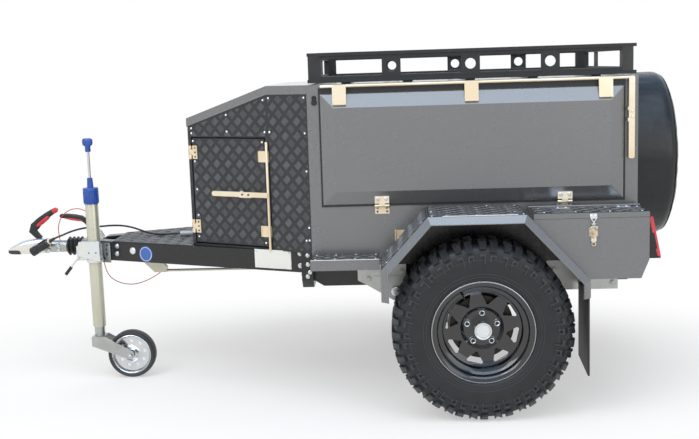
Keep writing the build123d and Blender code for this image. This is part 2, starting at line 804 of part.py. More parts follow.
with BuildPart() as nose_hinge:
    for hinge_mid in nose_hinge_mids:
        with BuildSketch(Plane.XY.offset(hinge_mid - hinge_width / 2)):
            with Locations(side_points(nose_pin)[0]):
                Circle(pin_radius)
        extrude(amount=hinge_width)
        for low in (hinge_mid - hinge_width / 2, hinge_mid + hinge_width / 2 - knuckle_end):
            with BuildSketch(Plane.XY.offset(low)):
                with BuildLine():
                    Polyline(*side_points((1, 0), (15, 0), (20, 4), (16, 12.9), (10, 8), (6, 3), (1, 3)),
                             close=True)
                make_face()
                with Locations(side_points(nose_pin)[0]):
                    Circle(knuckle_radius)
            extrude(amount=knuckle_end)
write(both_sides(nose_hinge.part), "nose_door_hinges")

# Lock bar, clamp plates and lever of each nose door, with the door's hinge leaves
nose_bar_out = 9.0
nose_bar_setback = 16.0
nose_bar_drop = 14.0
nose_clamp_gap = 0.3
nose_clamp_sheet = 5.0
nose_clamp_width = 52.0
nose_clamp_height = 48.0
nose_clamp_mids = (nose_door_bottom + 68.0, nose_door_top - 77.0)
nose_lever_z = nose_door_mid_z - 7.5
nose_lever_length = 300.0
nose_lever_width = 22.0
nose_lever_setback = 134.0
nose_door_end = nose_door_inset + nose_door_length
with BuildPart() as nose_lock:
    with BuildSketch(Plane.XY.offset(nose_door_bottom - nose_bar_drop)):
        with Locations(side_points((nose_door_end + nose_bar_setback, nose_bar_out))[0]):
            Circle(bar_radius)
    extrude(amount=nose_door_height)
    for plate_z in nose_clamp_mids:
        with BuildSketch(side_plane.offset(nose_clamp_gap)):
            with Locations((nose_door_end + nose_bar_setback + bar_radius - nose_clamp_width / 2, plate_z)):
                Rectangle(nose_clamp_width, nose_clamp_height)
        extrude(amount=nose_clamp_sheet)
    with BuildSketch(side_plane.offset(nose_bar_out + bar_radius / 2)):
        with Locations((nose_lever_setback + nose_lever_length / 2, nose_lever_z)):
            RectangleRounded(nose_lever_length, nose_lever_width, nose_lever_width / 2 - 1)
    extrude(amount=lever_sheet)
    for hinge_mid in nose_hinge_mids:
        with BuildSketch(Plane.XY.offset(hinge_mid - knuckle_width / 2)):
            with BuildLine():
                Polyline(*side_points((22, 0), (50, 0), (50, 3), (28, 3), (17, 12.8), (11, 8)), close=True)
            make_face()
            with Locations(side_points(nose_pin)[0]):
                Circle(knuckle_radius)
                Circle(pin_radius + pin_clearance, mode=Mode.SUBTRACT)
        extrude(amount=knuckle_width)
write_pair(nose_lock.part, "nose_door_fittings")

with BuildPart() as lid_pocket:
    with BuildSketch(Plane.XZ.offset(-cut_half)):
        with BuildLine():
            Polyline(*nose_profile(lid_top), close=True)
        make_face()
    extrude(amount=2 * cut_half)
    with BuildSketch(Plane.XY.offset(drawbar_top)):
        with BuildLine():
            Polyline(*nose_outline(0.5, 1), close=True)
        make_face()
    extrude(amount=2 * nose_tall, mode=Mode.INTERSECT)
with BuildPart() as nose_lid:
    with BuildSketch(Plane.XZ.offset(-cut_half)):
        with BuildLine():
            Polyline(*nose_profile(0), close=True)
        make_face()
    extrude(amount=2 * cut_half)
    with BuildSketch(Plane.XY.offset(drawbar_top)):
        with BuildLine():
            Polyline(*nose_outline(lid_sheet + 0.5), close=True)
        make_face()
    extrude(amount=2 * nose_tall, mode=Mode.INTERSECT)
    with BuildSketch(Plane.XZ.offset(-cut_half)):
        with BuildLine():
            Polyline(*nose_profile(lid_band), close=True)
        make_face()
    extrude(amount=2 * cut_half, mode=Mode.SUBTRACT)
    add(lid_pocket.part, mode=Mode.SUBTRACT)
write(nose_lid.part, "nose_lid")

# Side steps between the body's front and the fenders
step_end = fender_front_x - 7.0
with BuildPart() as step:
    with BuildSketch(Plane.YZ.offset(body_x)):
        with BuildLine():
            Polyline((-body_half, step_top), (-step_half, step_top), (-step_half, step_top - step_height),
                     (-step_half + sheet, step_top - step_height), (-step_half + sheet, step_top - sheet),
                     (-body_half, step_top - sheet), close=True)
        make_face()
    extrude(amount=step_end - body_x)
write(both_sides(step.part), "side_steps")

# Fenders: folded arches with a 45 degree edge and a narrow lip; a knee moves by the tangent of half its turn
knee_share = 0.42


def arch_points(shrink):
    """Fender arch outline in side view, moved inwards by shrink."""
    slope = shrink * knee_share
    return [(fender_front_x + shrink, fender_foot), (fender_front_x + shrink, fender_front_knee - slope),
            (fender_top_front_x + slope, fender_top - shrink),
            (fender_top_rear_x - slope, fender_top - shrink),
            (fender_rear_x - shrink, fender_rear_knee - slope), (fender_rear_x - shrink, fender_foot)]


with BuildPart() as fender:
    with BuildSketch(Plane.XZ.offset(body_half)):
        with BuildLine():
            Polyline(*arch_points(0), close=True)
        make_face()
    extrude(amount=fender_half - body_half)
    outer_edges = fender.faces().sort_by(Axis.Y)[0].edges().sort_by(Axis.Z)[1:]
    chamfer(outer_edges, fender_chamfer)
    with BuildSketch(Plane.XZ.offset(body_half)):
        with BuildLine():
            Polyline(*arch_points(sheet), close=True)
        make_face()
    extrude(amount=fender_half - fender_chamfer - body_half, mode=Mode.SUBTRACT)
    with BuildSketch(Plane.XZ.offset(fender_half - fender_chamfer - 1)):
        with BuildLine():
            Polyline(*arch_points(fender_lip), close=True)
        make_face()
    extrude(amount=fender_chamfer + 10, mode=Mode.SUBTRACT)
write(both_sides(fender.part), "fenders")

# Side boxes behind the wheels, with lids hinged at the body
box_rear_x = rear_x
box_rim = box_lid_top - box_lid_band


def fender_rear(z):
    """X of the fender's rear slope at height z."""
    run = (fender_rear_x - fender_top_rear_x) / (fender_top - fender_rear_knee)
    return fender_top_rear_x + (fender_top - z) * run


box_profile = [(fender_rear(box_rim) + box_seat, box_rim), (box_rear_x, box_rim),
               (box_rear_x, box_bottom + box_corner_z), (box_rear_x - box_corner_x, box_bottom),
               (fender_rear_x + box_seat, box_bottom), (fender_rear_x + box_seat, fender_rear_knee)]
lid_x = fender_rear(box_rim) + lid_front_gap
hinge_seams = (lid_x, lid_x + lid_hinge_end, box_rear_x - lid_hinge_end, box_rear_x)
with BuildPart() as side_box:
    with BuildSketch(Plane.XZ.offset(body_half)):
        with BuildLine():
            Polyline(*box_profile, close=True)
        make_face()
    extrude(amount=box_half - body_half)
    offset(amount=-box_wall, openings=side_box.faces().sort_by(Axis.Z)[-1])
    with Locations((lid_x, -body_half, box_lid_top)):
        Box(box_rear_x - lid_x, ledge_width, box_lid_band, align=(Align.MIN, Align.MAX, Align.MAX))
    with BuildSketch(Plane.YZ.offset(lid_x)):
        with Locations((-lid_pin_y, lid_pin_z)):
            Circle(lid_pin_radius)
    extrude(amount=box_rear_x - lid_x)
    for low, high in (hinge_seams[:2], hinge_seams[2:]):
        with BuildSketch(Plane.YZ.offset(low)):
            with Locations((-lid_pin_y, lid_pin_z)):
                Circle(lid_knuckle_radius)
            with Locations((-lid_pin_y + lid_leaf_width / 2 + 1, box_lid_top + lid_leaf / 2)):
                Rectangle(lid_leaf_width, lid_leaf)
        extrude(amount=high - low)
write(both_sides(side_box.part), "side_boxes")
with BuildPart() as box_lid:
    with Locations((lid_x, -body_half - ledge_width - lid_gap, box_lid_top)):
        Box(box_rear_x - lid_x, box_half - body_half - ledge_width - lid_gap, box_lid_band - lid_gap,
            align=(Align.MIN, Align.MAX, Align.MAX))
    with BuildSketch(Plane.YZ.offset(hinge_seams[1] + knuckle_gap)):
        with Locations((-lid_pin_y, lid_pin_z)):
            Circle(lid_knuckle_radius)
        with Locations((-lid_pin_y - lid_leaf_width / 2 - 1, box_lid_top + lid_leaf / 2)):
            Rectangle(lid_leaf_width, lid_leaf)
        with Locations((-lid_pin_y, lid_pin_z)):
            Circle(lid_pin_radius + pin_clearance, mode=Mode.SUBTRACT)
    extrude(amount=hinge_seams[2] - hinge_seams[1] - 2 * knuckle_gap)
write_pair(box_lid.part, "side_box_lid")

# Draw latches: a base plate with its lever on the box, a catch with its wire loop on the lid
latch_x = box_rear_x - 221.0
latch_width = 34.0
latch_sheet = 2.5
latch_base_bottom = 734.0
latch_base_top = 775.0
latch_lever_width = 20.0
latch_lever_bottom = 712.0
latch_lever_top = 768.0
latch_lever_out = 9.0
latch_eye_z = 704.0
latch_eye_radius = 9.0
latch_wire = 3.5
catch_top = box_lid_top - 3.0
catch_bottom = catch_top - 17.0
catch_width = 28.0
loop_top = catch_bottom + 1.0
loop_point = loop_top - 22.0
loop_stem = 7.0
loop_out = 5.0
with BuildPart() as latch:
    with BuildSketch(Plane.XZ.offset(box_half)):
        with Locations((latch_x, (latch_base_bottom + latch_base_top) / 2)):
            RectangleRounded(latch_width, latch_base_top - latch_base_bottom, 4)
    extrude(amount=latch_sheet)
    with BuildSketch(Plane.XZ.offset(box_half)):
        with Locations((latch_x, (latch_lever_bottom + latch_lever_top) / 2)):
            RectangleRounded(latch_lever_width, latch_lever_top - latch_lever_bottom, 3)
        with Locations((latch_x, latch_eye_z)):
            Circle(latch_eye_radius)
            Circle(latch_eye_radius - latch_wire, mode=Mode.SUBTRACT)
    extrude(amount=latch_lever_out)
write(both_sides(latch.part), "box_latches")
with BuildPart() as catch:
    with BuildSketch(Plane.XZ.offset(box_half)):
        with Locations((latch_x, (catch_top + catch_bottom) / 2)):
            RectangleRounded(catch_width, catch_top - catch_bottom, 3)
    extrude(amount=latch_sheet)
    with BuildSketch(Plane.XZ.offset(box_half + loop_out)):
        with BuildLine():
            Polyline((latch_x - catch_width / 2, loop_top), (latch_x + catch_width / 2, loop_top),
                     (latch_x, loop_point), close=True)
        make_face()
        offset(amount=-latch_wire, mode=Mode.SUBTRACT)
        with Locations((latch_x, loop_point - loop_stem / 2 + latch_wire)):
            Rectangle(2 * latch_wire, loop_stem)
    extrude(amount=latch_wire)
    with BuildSketch(Plane.XZ.offset(box_half)):
        with Locations((latch_x, catch_bottom + latch_wire / 2)):
            Rectangle(catch_width, latch_wire)
    extrude(amount=loop_out + latch_wire)
write_pair(catch.part, "box_lid_catch")

# Mud flaps behind the wheels
flap_thickness = 8.0
flap_inner = wheel_y - 122.0
flap_outer = fender_half - 35.0
flap_top = fender_foot + 20.0
flap_inner_bottom = 205.0
flap_outer_bottom = 180.0
with BuildPart() as flap:
    with BuildSketch(Plane.YZ.offset(fender_rear_x - sheet - flap_thickness)):
        with BuildLine():
            Polyline((-flap_inner, flap_top), (-flap_outer, flap_top), (-flap_outer, flap_outer_bottom),
                     (-flap_inner, flap_inner_bottom), close=True)
        make_face()
    extrude(amount=flap_thickness)
write(both_sides(flap.part), "mud_flaps")

# Tail lamps on the side boxes' rear faces: a wedge with a sloping lens that stands on a thin foot
lamp_outer = box_half - 10.0
lamp_width = 110.0
lamp_top = box_rim
lamp_bottom = 641.0
lamp_top_depth = 6.0
lamp_bottom_depth = 38.0
lens_depth = 7.0
lens_inset = 1.5
lamp_foot = 3.0
foot_depth = lamp_bottom_depth + lens_depth + 2.0
# Housing, lens and foot: outer y, width, outline as depth behind the box and height
lamp_sections = (
    (lamp_outer, lamp_width,
     [(0, lamp_bottom), (lamp_bottom_depth, lamp_bottom), (lamp_top_depth, lamp_top), (0, lamp_top)]),
    (lamp_outer - lens_inset, lamp_width - 2 * lens_inset,
     [(0, lamp_bottom), (lamp_bottom_depth + lens_depth, lamp_bottom),
      (lamp_top_depth + lens_depth, lamp_top - 4), (lamp_top_depth + lens_depth - 3, lamp_top),
      (0, lamp_top)]),
    (lamp_outer, lamp_width,
     [(0, lamp_bottom - lamp_foot), (foot_depth, lamp_bottom - lamp_foot), (foot_depth, lamp_bottom),
      (0, lamp_bottom)]))
with BuildPart() as lamp:
    for outer_y, width, section in lamp_sections:
        with BuildSketch(Plane.XZ.offset(outer_y - width)):
            with BuildLine():
                Polyline(*[(rear_x + depth, height) for depth, height in section], close=True)
            make_face()
        extrude(amount=width)
write(both_sides(lamp.part), "tail_lamps")

# Roof rack: rails, perforated plates and floor bars
rack_front = body_x + rack_end_gap
rack_rear = rear_x - rack_end_gap
with BuildPart() as rack_side:
    for low in (rack_bottom, rack_top - rack_rail):
        with Locations(((rack_front + rack_rear) / 2, -rack_half, low)):
            Box(rack_rear - rack_front - 2 * rack_corner, rack_depth, rack_rail,
                align=(Align.CENTER, Align.MIN, Align.MIN))
    for index in range(rack_stations):
        station = (rack_front + rack_rear) / 2 + (index - 1) * rack_station_pitch
        with BuildSketch(Plane.XZ.offset(rack_half - rack_plate)):
            with Locations((station, (rack_bottom + rack_top) / 2)):
                Rectangle(rack_plate_width, rack_top - rack_bottom - 2 * rack_rail)
                Circle(rack_hole / 2, mode=Mode.SUBTRACT)
        extrude(amount=rack_plate)
write(both_sides(rack_side.part), "rack_sides")
with BuildPart() as rack_end:
    for low in (rack_bottom, rack_top - rack_rail):
        with Locations((rack_front, 0, low)):
            Box(rack_depth, 2 * (rack_half - rack_corner), rack_rail,
                align=(Align.MIN, Align.CENTER, Align.MIN))
    for side in (-1, 1):
        with Locations((rack_front, side * rack_end_plate_y, rack_bottom + rack_rail)):
            Box(rack_plate, rack_plate_width, rack_top - rack_bottom - 2 * rack_rail,
                align=(Align.MIN, Align.CENTER, Align.MIN))
with BuildPart() as rack_ends:
    add(rack_end.part)
    mirror(rack_end.part, about=Plane.YZ.offset((rack_front + rack_rear) / 2))
write(rack_ends.part, "rack_ends")
with BuildPart() as rack_corner_part:
    with BuildSketch(Plane.XY.offset(rack_bottom)):
        with BuildLine():
            inner_y = rack_depth - rack_half
            end_y = rack_corner - rack_half
            Polyline((rack_front + rack_corner, -rack_half), (rack_front + rack_corner, inner_y),
                     (rack_front + rack_depth, end_y), (rack_front, end_y), close=True)
        make_face()
    extrude(amount=rack_top - rack_bottom)
bar_count = 5
bar_setback = 160.0
bar_width = 40.0
bar_seat = 12.0
bar_pitch = (rack_rear - rack_front - 2 * bar_setback) / (bar_count - 1)
with BuildPart() as rack_corners:
    add(rack_corner_part.part)
    mirror(rack_corner_part.part, about=Plane.YZ.offset((rack_front + rack_rear) / 2))
    mirror(about=Plane.XZ)
    for index in range(bar_count):
        with Locations((rack_front + bar_setback + index * bar_pitch, 0, body_top)):
            Box(bar_width, 2 * (rack_half - rack_depth), rack_bottom - body_top + bar_seat,
                align=(Align.CENTER, Align.CENTER, Align.MIN))
write(rack_corners.part, "rack_corners_and_bars")

# Spare wheel cover on the rear wall
with BuildPart() as cover:
    with BuildSketch(Plane.YZ.offset(rear_x + cover_gap)):
        with Locations((0, cover_z)):
            Circle(cover_radius)
    extrude(amount=cover_depth)
    fillet(cover.faces().sort_by(Axis.X)[-1].edges(), cover_round)
write(cover.part, "spare_cover")

# Jockey stand: outer tube with its crank, clamp, sliding inner tube, swivelling fork and wheel
inner_bottom = 205.0
inner_length = 380.0
tube_bore_length = 400.0
with BuildPart() as jockey_tube:
    with Locations((jockey_x, jockey_y, jockey_tube_bottom)):
        Cylinder(jockey_tube_radius, jockey_tube_top - jockey_tube_bottom,
                 align=(Align.CENTER, Align.CENTER, Align.MIN))
        Cylinder(jockey_inner_radius + stub_clearance, tube_bore_length,
                 align=(Align.CENTER, Align.CENTER, Align.MIN), mode=Mode.SUBTRACT)
write(jockey_tube.part, "jockey_tube")

# Crank: cap, neck, rod and knob stem as radius and height above the tube, then the flat knob on top
crank_profile = [(0, 0), (33, 0), (36, 64), (36, 73), (33, 76), (15, 76), (12, 123), (6.5, 123), (6.5, 243),
                 (13, 243), (13, 276), (0, 276)]
knob_bottom = 270.0
knob_top = 306.0
knob_width = 48.0
knob_depth = 30.0
knob_corner = 10.0
with BuildPart() as jockey_crank:
    with BuildSketch(Plane.XZ):
        with BuildLine():
            Polyline(*crank_profile, close=True)
        make_face()
    revolve(axis=Axis.Z)
    with BuildSketch(Plane.XY.offset(knob_bottom)):
        RectangleRounded(knob_width, knob_depth, knob_corner)
    extrude(amount=knob_top - knob_bottom)
    fillet(jockey_crank.faces().sort_by(Axis.Z)[-1].edges(), 6)
write(jockey_crank.part.moved(Location((jockey_x, jockey_y, jockey_tube_top))), "jockey_crank")

# Clamp: split sleeve on an arm from the housing, with the rod and grip of its tommy bar
clamp_radius = 36.0
clamp_bottom = 560.0
clamp_height = 80.0
arm_bottom = 566.0
arm_height = 68.0
arm_inset = 4.0
arm_end_gap = 10.0
cradle_radius = 39.0
cradle_height = 14.0
tommy_root = Vector(jockey_x - 52.0, jockey_y - 8.0, clamp_bottom + 52.0)
tommy_tip = tommy_root + Vector(-92.0, 0, -112.0)
tommy_radius = 4.0
grip_radius = 7.5
grip_share = 0.68
tommy_plane = Plane(origin=tommy_root, z_dir=tommy_tip - tommy_root)
tommy_length = (tommy_tip - tommy_root).length
with BuildPart() as jockey_clamp:
    with Locations((jockey_x, jockey_y, clamp_bottom)):
        Cylinder(clamp_radius, clamp_height, align=(Align.CENTER, Align.CENTER, Align.MIN))
        Cylinder(cradle_radius, cradle_height, align=(Align.CENTER, Align.CENTER, Align.MIN))
    with Locations((housing_front_x + arm_inset, -housing_half, arm_bottom)):
        Box(beam_front_x - housing_front_x - arm_inset - arm_end_gap, -jockey_y - housing_half, arm_height,
            align=(Align.MIN, Align.MAX, Align.MIN))
    with Locations((tommy_root.X, jockey_y, tommy_root.Z)):
        Box(44, 30, 26)
    with BuildSketch(tommy_plane):
        Circle(tommy_radius)
    extrude(amount=tommy_length)
    with BuildSketch(tommy_plane.offset(grip_share * tommy_length)):
        Circle(grip_radius)
    extrude(amount=(1 - grip_share) * tommy_length)
    with Locations((jockey_x, jockey_y, clamp_bottom - clamp_height / 2)):
        Cylinder(jockey_tube_radius + jockey_gap, 2 * clamp_height,
                 align=(Align.CENTER, Align.CENTER, Align.MIN), mode=Mode.SUBTRACT)
write(jockey_clamp.part, "jockey_clamp")
with BuildPart() as jockey_inner:
    with Locations((jockey_x, jockey_y, inner_bottom)):
        Cylinder(jockey_inner_radius, inner_length, align=(Align.CENTER, Align.CENTER, Align.MIN))
write(jockey_inner.part, "jockey_inner_tube")

fork_half = jockey_wheel_width / 2 + 6.0
fork_plate = 5.0
fork_top = inner_bottom - jockey_gap
fork_half_length = 30.0
fork_crown = 6.0
fork_corner = 12.0
hub_x = jockey_x + jockey_trail
with BuildPart() as fork:
    for inner_y in (-jockey_y + fork_half, -jockey_y - fork_half - fork_plate):
        with BuildSketch(Plane.XZ.offset(inner_y)):
            with BuildLine():
                Polyline((jockey_x - fork_half_length, fork_top), (jockey_x + fork_half_length, fork_top),
                         (hub_x + 16, 129), (hub_x + 16, 97), (hub_x - 16, 97),
                         (jockey_x - fork_half_length, 160), close=True)
            make_face()
            fillet(vertices().sort_by(Axis.X)[-3:], fork_corner)
        extrude(amount=fork_plate)
    with Locations((jockey_x, jockey_y, fork_top)):
        Box(2 * fork_half_length, 2 * (fork_half + fork_plate), fork_crown,
            align=(Align.CENTER, Align.CENTER, Align.MAX))
    with Locations((hub_x, jockey_y, jockey_wheel_radius)):
        Cylinder(jockey_axle_radius, 2 * (fork_half + fork_plate), rotation=(90, 0, 0))
write(fork.part, "jockey_fork")

# Jockey wheel: rubber ring on a pressed pan, half section as radius and half-width
half_wheel = jockey_wheel_width / 2
wheel_section = [(jockey_axle_radius + stub_clearance, half_wheel - 1), (24, half_wheel - 6), (34, 5),
                 (82, 4), (90, half_wheel - 7), (96, half_wheel - 2), (104, half_wheel),
                 (110, half_wheel - 6), (jockey_wheel_radius, half_wheel - 20)]
pan_hole_count = 9
pan_hole_radius = 9.5
pan_hole_circle = 60.0
with BuildPart() as jockey_wheel:
    add(about_axle([*wheel_section, *[(r, -y) for r, y in reversed(wheel_section)]]))
    with BuildSketch(Plane.XZ.offset(-half_wheel)):
        with PolarLocations(pan_hole_circle, pan_hole_count):
            Circle(pan_hole_radius)
    extrude(amount=jockey_wheel_width, mode=Mode.SUBTRACT)
write(jockey_wheel.part.moved(Location((hub_x, jockey_y, jockey_wheel_radius))), "jockey_wheel")

# Handbrake lever and coupling handle, as outlines in side view across their own widths
lever_seat = 0.3
brake_lever_y = 18.0
brake_lever_width = 20.0
brake_lever_shape = [(30, 0), (86, 0), (60, 40), (18, 88), (-100, 108), (-104, 86), (-4, 66)]
handle_root_z = shell_top + lever_seat
handle_width = 22.0
handle_shape = [(146, 0), (172, 0), (132, 44), (246, 134), (238, 152), (228, 152), (96, 50), (98, 38)]
with BuildPart() as levers:
    with BuildSketch(Plane.XZ.offset(-brake_lever_y - brake_lever_width / 2)):
        with BuildLine():
            Polyline(*[(housing_front_x + x, housing_top + lever_seat + z) for x, z in brake_lever_shape],
                     close=True)
        make_face()
    extrude(amount=brake_lever_width)
    with BuildSketch(Plane.XZ.offset(-handle_width / 2)):
        with BuildLine():
            Polyline(*[(nose_x + x, handle_root_z + z) for x, z in handle_shape], close=True)
        make_face()
    extrude(amount=handle_width)
write(levers.part, "drawbar_levers")

# Brake rod under the body, with the bracket of its equaliser
rod_radius = 6.0
rod_z = 482.0
rod_lap = 10.0
rod_length = 1360.0
bracket_setback = 600.0
bracket_length = 170.0
bracket_width = 30.0
bracket_height = 84.0
bracket_x = nose_x + bracket_setback
bracket_end = bracket_x + bracket_length
with BuildPart() as brake_rod:
    with BuildSketch(Plane.YZ.offset(bracket_end - rod_lap)):
        with Locations((0, rod_z)):
            Circle(rod_radius)
    extrude(amount=rod_length)
    with BuildSketch(Plane.XZ.offset(-bracket_width / 2)):
        with BuildLine():
            under = drawbar_top - beam_height
            foot = under - bracket_height
            Polyline((bracket_x, under), (bracket_x, under - 24), (bracket_end - 110, under - 34),
                     (bracket_end - 60, foot), (bracket_end, foot), (bracket_end, foot + 24),
                     (bracket_end - 50, under), close=True)
        make_face()
    extrude(amount=bracket_width)
write(brake_rod.part, "brake_rod")


def cord_path(points):
    """Bend radii for a cord's route: as large as the two runs at each point allow."""
    radii = []
    for before, at, after in zip(points, points[1:], points[2:]):
        first = Vector(*at) - Vector(*before)
        second = Vector(*after) - Vector(*at)
        turn = math.radians(first.get_angle(second))
        radii.append(0.45 * min(first.length, second.length) / math.tan(turn / 2))
    return radii


def write_cord(points, diameter, name):
    """Sweep a plain round tube along a cord's route and write it."""
    radii = cord_path(points)
    with BuildPart() as cord:
        with BuildLine() as route:
            FilletPolyline(*points, radius=radii)
        with BuildSketch(Plane(origin=route.line @ 0, z_dir=route.line % 0)):
            Circle(diameter / 2)
        sweep()
    section = math.pi * diameter**2 / 4
    length = sum(edge.length for edge in route.edges())
    print(name, "length", round(length), "least radius", round(min(radii), 1),
          "volume ratio", round(cord.part.volume / section / length, 4))
    write(cord.part, name)


# Electrical lead from the nose box's front, over the deck and the housing, to its parked plug
lead_diameter = 9.0
gland_length = 110.0
gland_radius = 11.0
gland_y = -20.0
gland_z = 665.0
gland_end = nose_box_x - gland_length
plug_length = 100.0
plug_radius = 22.0
plug_tail = (-1342.0, -60.0, 645.0)
plug_slope = 30.0
with BuildPart() as lead_gland:
    with BuildSketch(Plane.YZ.offset(gland_end)):
        with Locations((gland_y, gland_z)):
            Circle(gland_radius)
    extrude(amount=gland_length)
write(lead_gland.part, "lead_gland")
plug_plane = Plane(origin=plug_tail, z_dir=(math.cos(math.radians(plug_slope)), 0,
                                            math.sin(math.radians(plug_slope))))
with BuildPart() as lead_plug:
    with BuildSketch(plug_plane):
        Circle(plug_radius)
    extrude(amount=-plug_length)
write(lead_plug.part, "lead_plug")
lead_route = [
    (gland_end, gland_y, gland_z), (-750, -20, 665), (-786, -14, 660), (-832, 4, 659), (-880, 34, 662),
    (-926, 62, 672), (-972, 76, 686), (-1020, 72, 696), (-1062, 48, 701), (-1100, 14, 703),
    (-1142, -16, 705), (-1190, -38, 702), (-1236, -52, 691), (-1278, -59, 674), (-1309.96, -60, 663.5),
    plug_tail]
write_cord(lead_route, lead_diameter, "electrical_lead")

# Breakaway cable from the brake gear below the drawbar, past the housing, to the coupling's top
breakaway_diameter = 4.0
breakaway_route = [
    (-812, 17.3, 484), (-838, 36, 462), (-899, 80, 424), (-957, 105, 400), (-1003, 115, 392),
    (-1045, 115, 398), (-1083, 108, 416), (-1110, 96, 447), (-1121, 84, 495), (-1124, 76, 550),
    (-1126, 70, 610), (-1130, 66, 668), (-1142, 56, 722), (-1168, 34, 770), (-1210, 10, 796),
    (-1258, -8, 788), (-1294, -15, 752), (-1308, -16, 704), (-1306, -14, 674), (-1304, -12, 646.5)]
write_cord(breakaway_route, breakaway_diameter, "breakaway_cable")
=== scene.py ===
"""Looks of the off-road box trailer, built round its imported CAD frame. Sizes are in mm, meshes in metres."""
import math
from itertools import product

import bmesh
import bpy
from mathutils import Matrix, Vector, noise


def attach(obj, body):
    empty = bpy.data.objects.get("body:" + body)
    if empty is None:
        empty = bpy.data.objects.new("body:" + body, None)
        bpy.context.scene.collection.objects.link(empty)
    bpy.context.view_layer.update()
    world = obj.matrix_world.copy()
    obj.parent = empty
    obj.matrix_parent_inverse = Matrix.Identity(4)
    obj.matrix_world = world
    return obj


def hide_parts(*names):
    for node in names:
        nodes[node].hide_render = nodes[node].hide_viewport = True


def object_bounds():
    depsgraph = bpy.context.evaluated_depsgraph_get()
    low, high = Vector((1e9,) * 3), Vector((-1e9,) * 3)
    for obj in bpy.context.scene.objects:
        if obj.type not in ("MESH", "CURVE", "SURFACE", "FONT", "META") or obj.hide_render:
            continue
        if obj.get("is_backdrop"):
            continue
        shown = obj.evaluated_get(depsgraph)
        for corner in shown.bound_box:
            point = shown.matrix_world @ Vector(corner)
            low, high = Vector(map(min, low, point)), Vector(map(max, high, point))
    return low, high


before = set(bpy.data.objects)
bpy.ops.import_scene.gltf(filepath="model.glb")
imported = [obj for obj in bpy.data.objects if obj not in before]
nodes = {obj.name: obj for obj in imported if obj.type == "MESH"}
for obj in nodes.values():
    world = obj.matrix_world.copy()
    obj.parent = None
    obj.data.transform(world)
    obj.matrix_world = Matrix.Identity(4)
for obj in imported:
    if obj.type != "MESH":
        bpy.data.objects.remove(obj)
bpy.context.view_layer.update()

# Places shared with the CAD, in mm
NOSE_X, REAR_X, AXLE_X = -1560.15, 1324.85, 659.85
NOSE_BOX_X, CREASE_X, BEAM_X = -603.15, -218.15, -1089.15
HOUSING_X, HEAD_REAR_X = -1189.15, -1269.15
WHEEL_Y, AXLE_Z = 767.0, 366.5
JOCKEY_X, JOCKEY_Y = -1098.15, -146.0
WALL_Y = 585.0
STEP_TOP, DECK_TOP, LID_TOP, FENDER_TOP = 643.0, 653.0, 828.0, 837.0
TYRE_RADIUS, TREAD_RADIUS = 366.5, 355.0
COVER_Z = 989.0
SIDES = {"left": -1, "right": 1}


# Materials

def feed(tree, socket, value):
    """Link another node's output to a socket, or set the socket's own value."""
    if isinstance(value, bpy.types.NodeSocket):
        tree.links.new(value, socket)
    else:
        socket.default_value = value


def add_node(tree, kind, output, inputs, **settings):
    """One output of a new shader node, after its settings are made and its inputs are fed."""
    node = tree.nodes.new(kind)
    for key, value in settings.items():
        setattr(node, key, value)
    for key, value in inputs.items():
        feed(tree, node.inputs[key], value)
    return node.outputs[output]


def material(name, colour, rough, metal=0.0, tint=None, patch=6.0, patch_mix=0.35, grain=900.0,
             bump=0.05, rough_span=0.08, coat=0.0, edge_highlight=None, coat_rough=0.2, specular=0.5):
    """Procedural finish: patchy tint, uneven roughness, fine grain and, if asked, a painted highlight on sharp
    edges.
    """
    mat = bpy.data.materials.new(name)
    mat.use_nodes = True
    tree = mat.node_tree
    place = add_node(tree, "ShaderNodeTexCoord", "Object", {})

    def cloud(scale, detail):
        return add_node(tree, "ShaderNodeTexNoise", "Fac", {
            "Scale": scale, "Detail": detail, "Vector": place})

    def span(source, low, high, start=0.3, end=0.7):
        return add_node(tree, "ShaderNodeMapRange", "Result", {
            "From Min": start, "From Max": end, "To Min": low, "To Max": high, "Value": source})

    def blend(amount, first, second):
        return add_node(tree, "ShaderNodeMix", "Result", {"Factor": amount, "A": first, "B": second},
                        data_type="RGBA")

    tint = tint or tuple(min(1.0, c * 1.25 + 0.004) for c in colour)
    base = blend(span(cloud(patch, 4.0), 0.0, patch_mix), (*colour, 1.0), (*tint, 1.0))
    # Sharp edges, picked by Pointiness, get a lighter colour: a painted highlight.
    if edge_highlight:
        edge = add_node(tree, "ShaderNodeNewGeometry", "Pointiness", {})
        base = blend(span(edge, 0.0, 1.0, 0.515, 0.56), base, (*edge_highlight, 1.0))
    relief = add_node(tree, "ShaderNodeBump", "Normal", {
        "Strength": bump, "Distance": 0.001, "Height": cloud(grain, 2.0)})
    uneven = span(cloud(patch * 7, 6.0), rough - rough_span, rough + rough_span)
    for key, value in {"Metallic": metal, "Coat Weight": coat, "Coat Roughness": coat_rough,
                       "Specular IOR Level": specular, "Base Color": base, "Roughness": uneven,
                       "Normal": relief}.items():
        feed(tree, tree.nodes["Principled BSDF"].inputs[key], value)
    return mat


PAINT = material("satin_grey_paint", (0.19, 0.19, 0.192), 0.27, 0.55, tint=(0.215, 0.215, 0.217), patch=1.6,
                 patch_mix=0.3, grain=1500, bump=0.008, rough_span=0.012, coat=0.5, coat_rough=0.15)
TREAD = material("black_tread_plate", (0.03, 0.031, 0.033), 0.36, 0.3, tint=(0.045, 0.047, 0.052),
                 grain=700, bump=0.12)
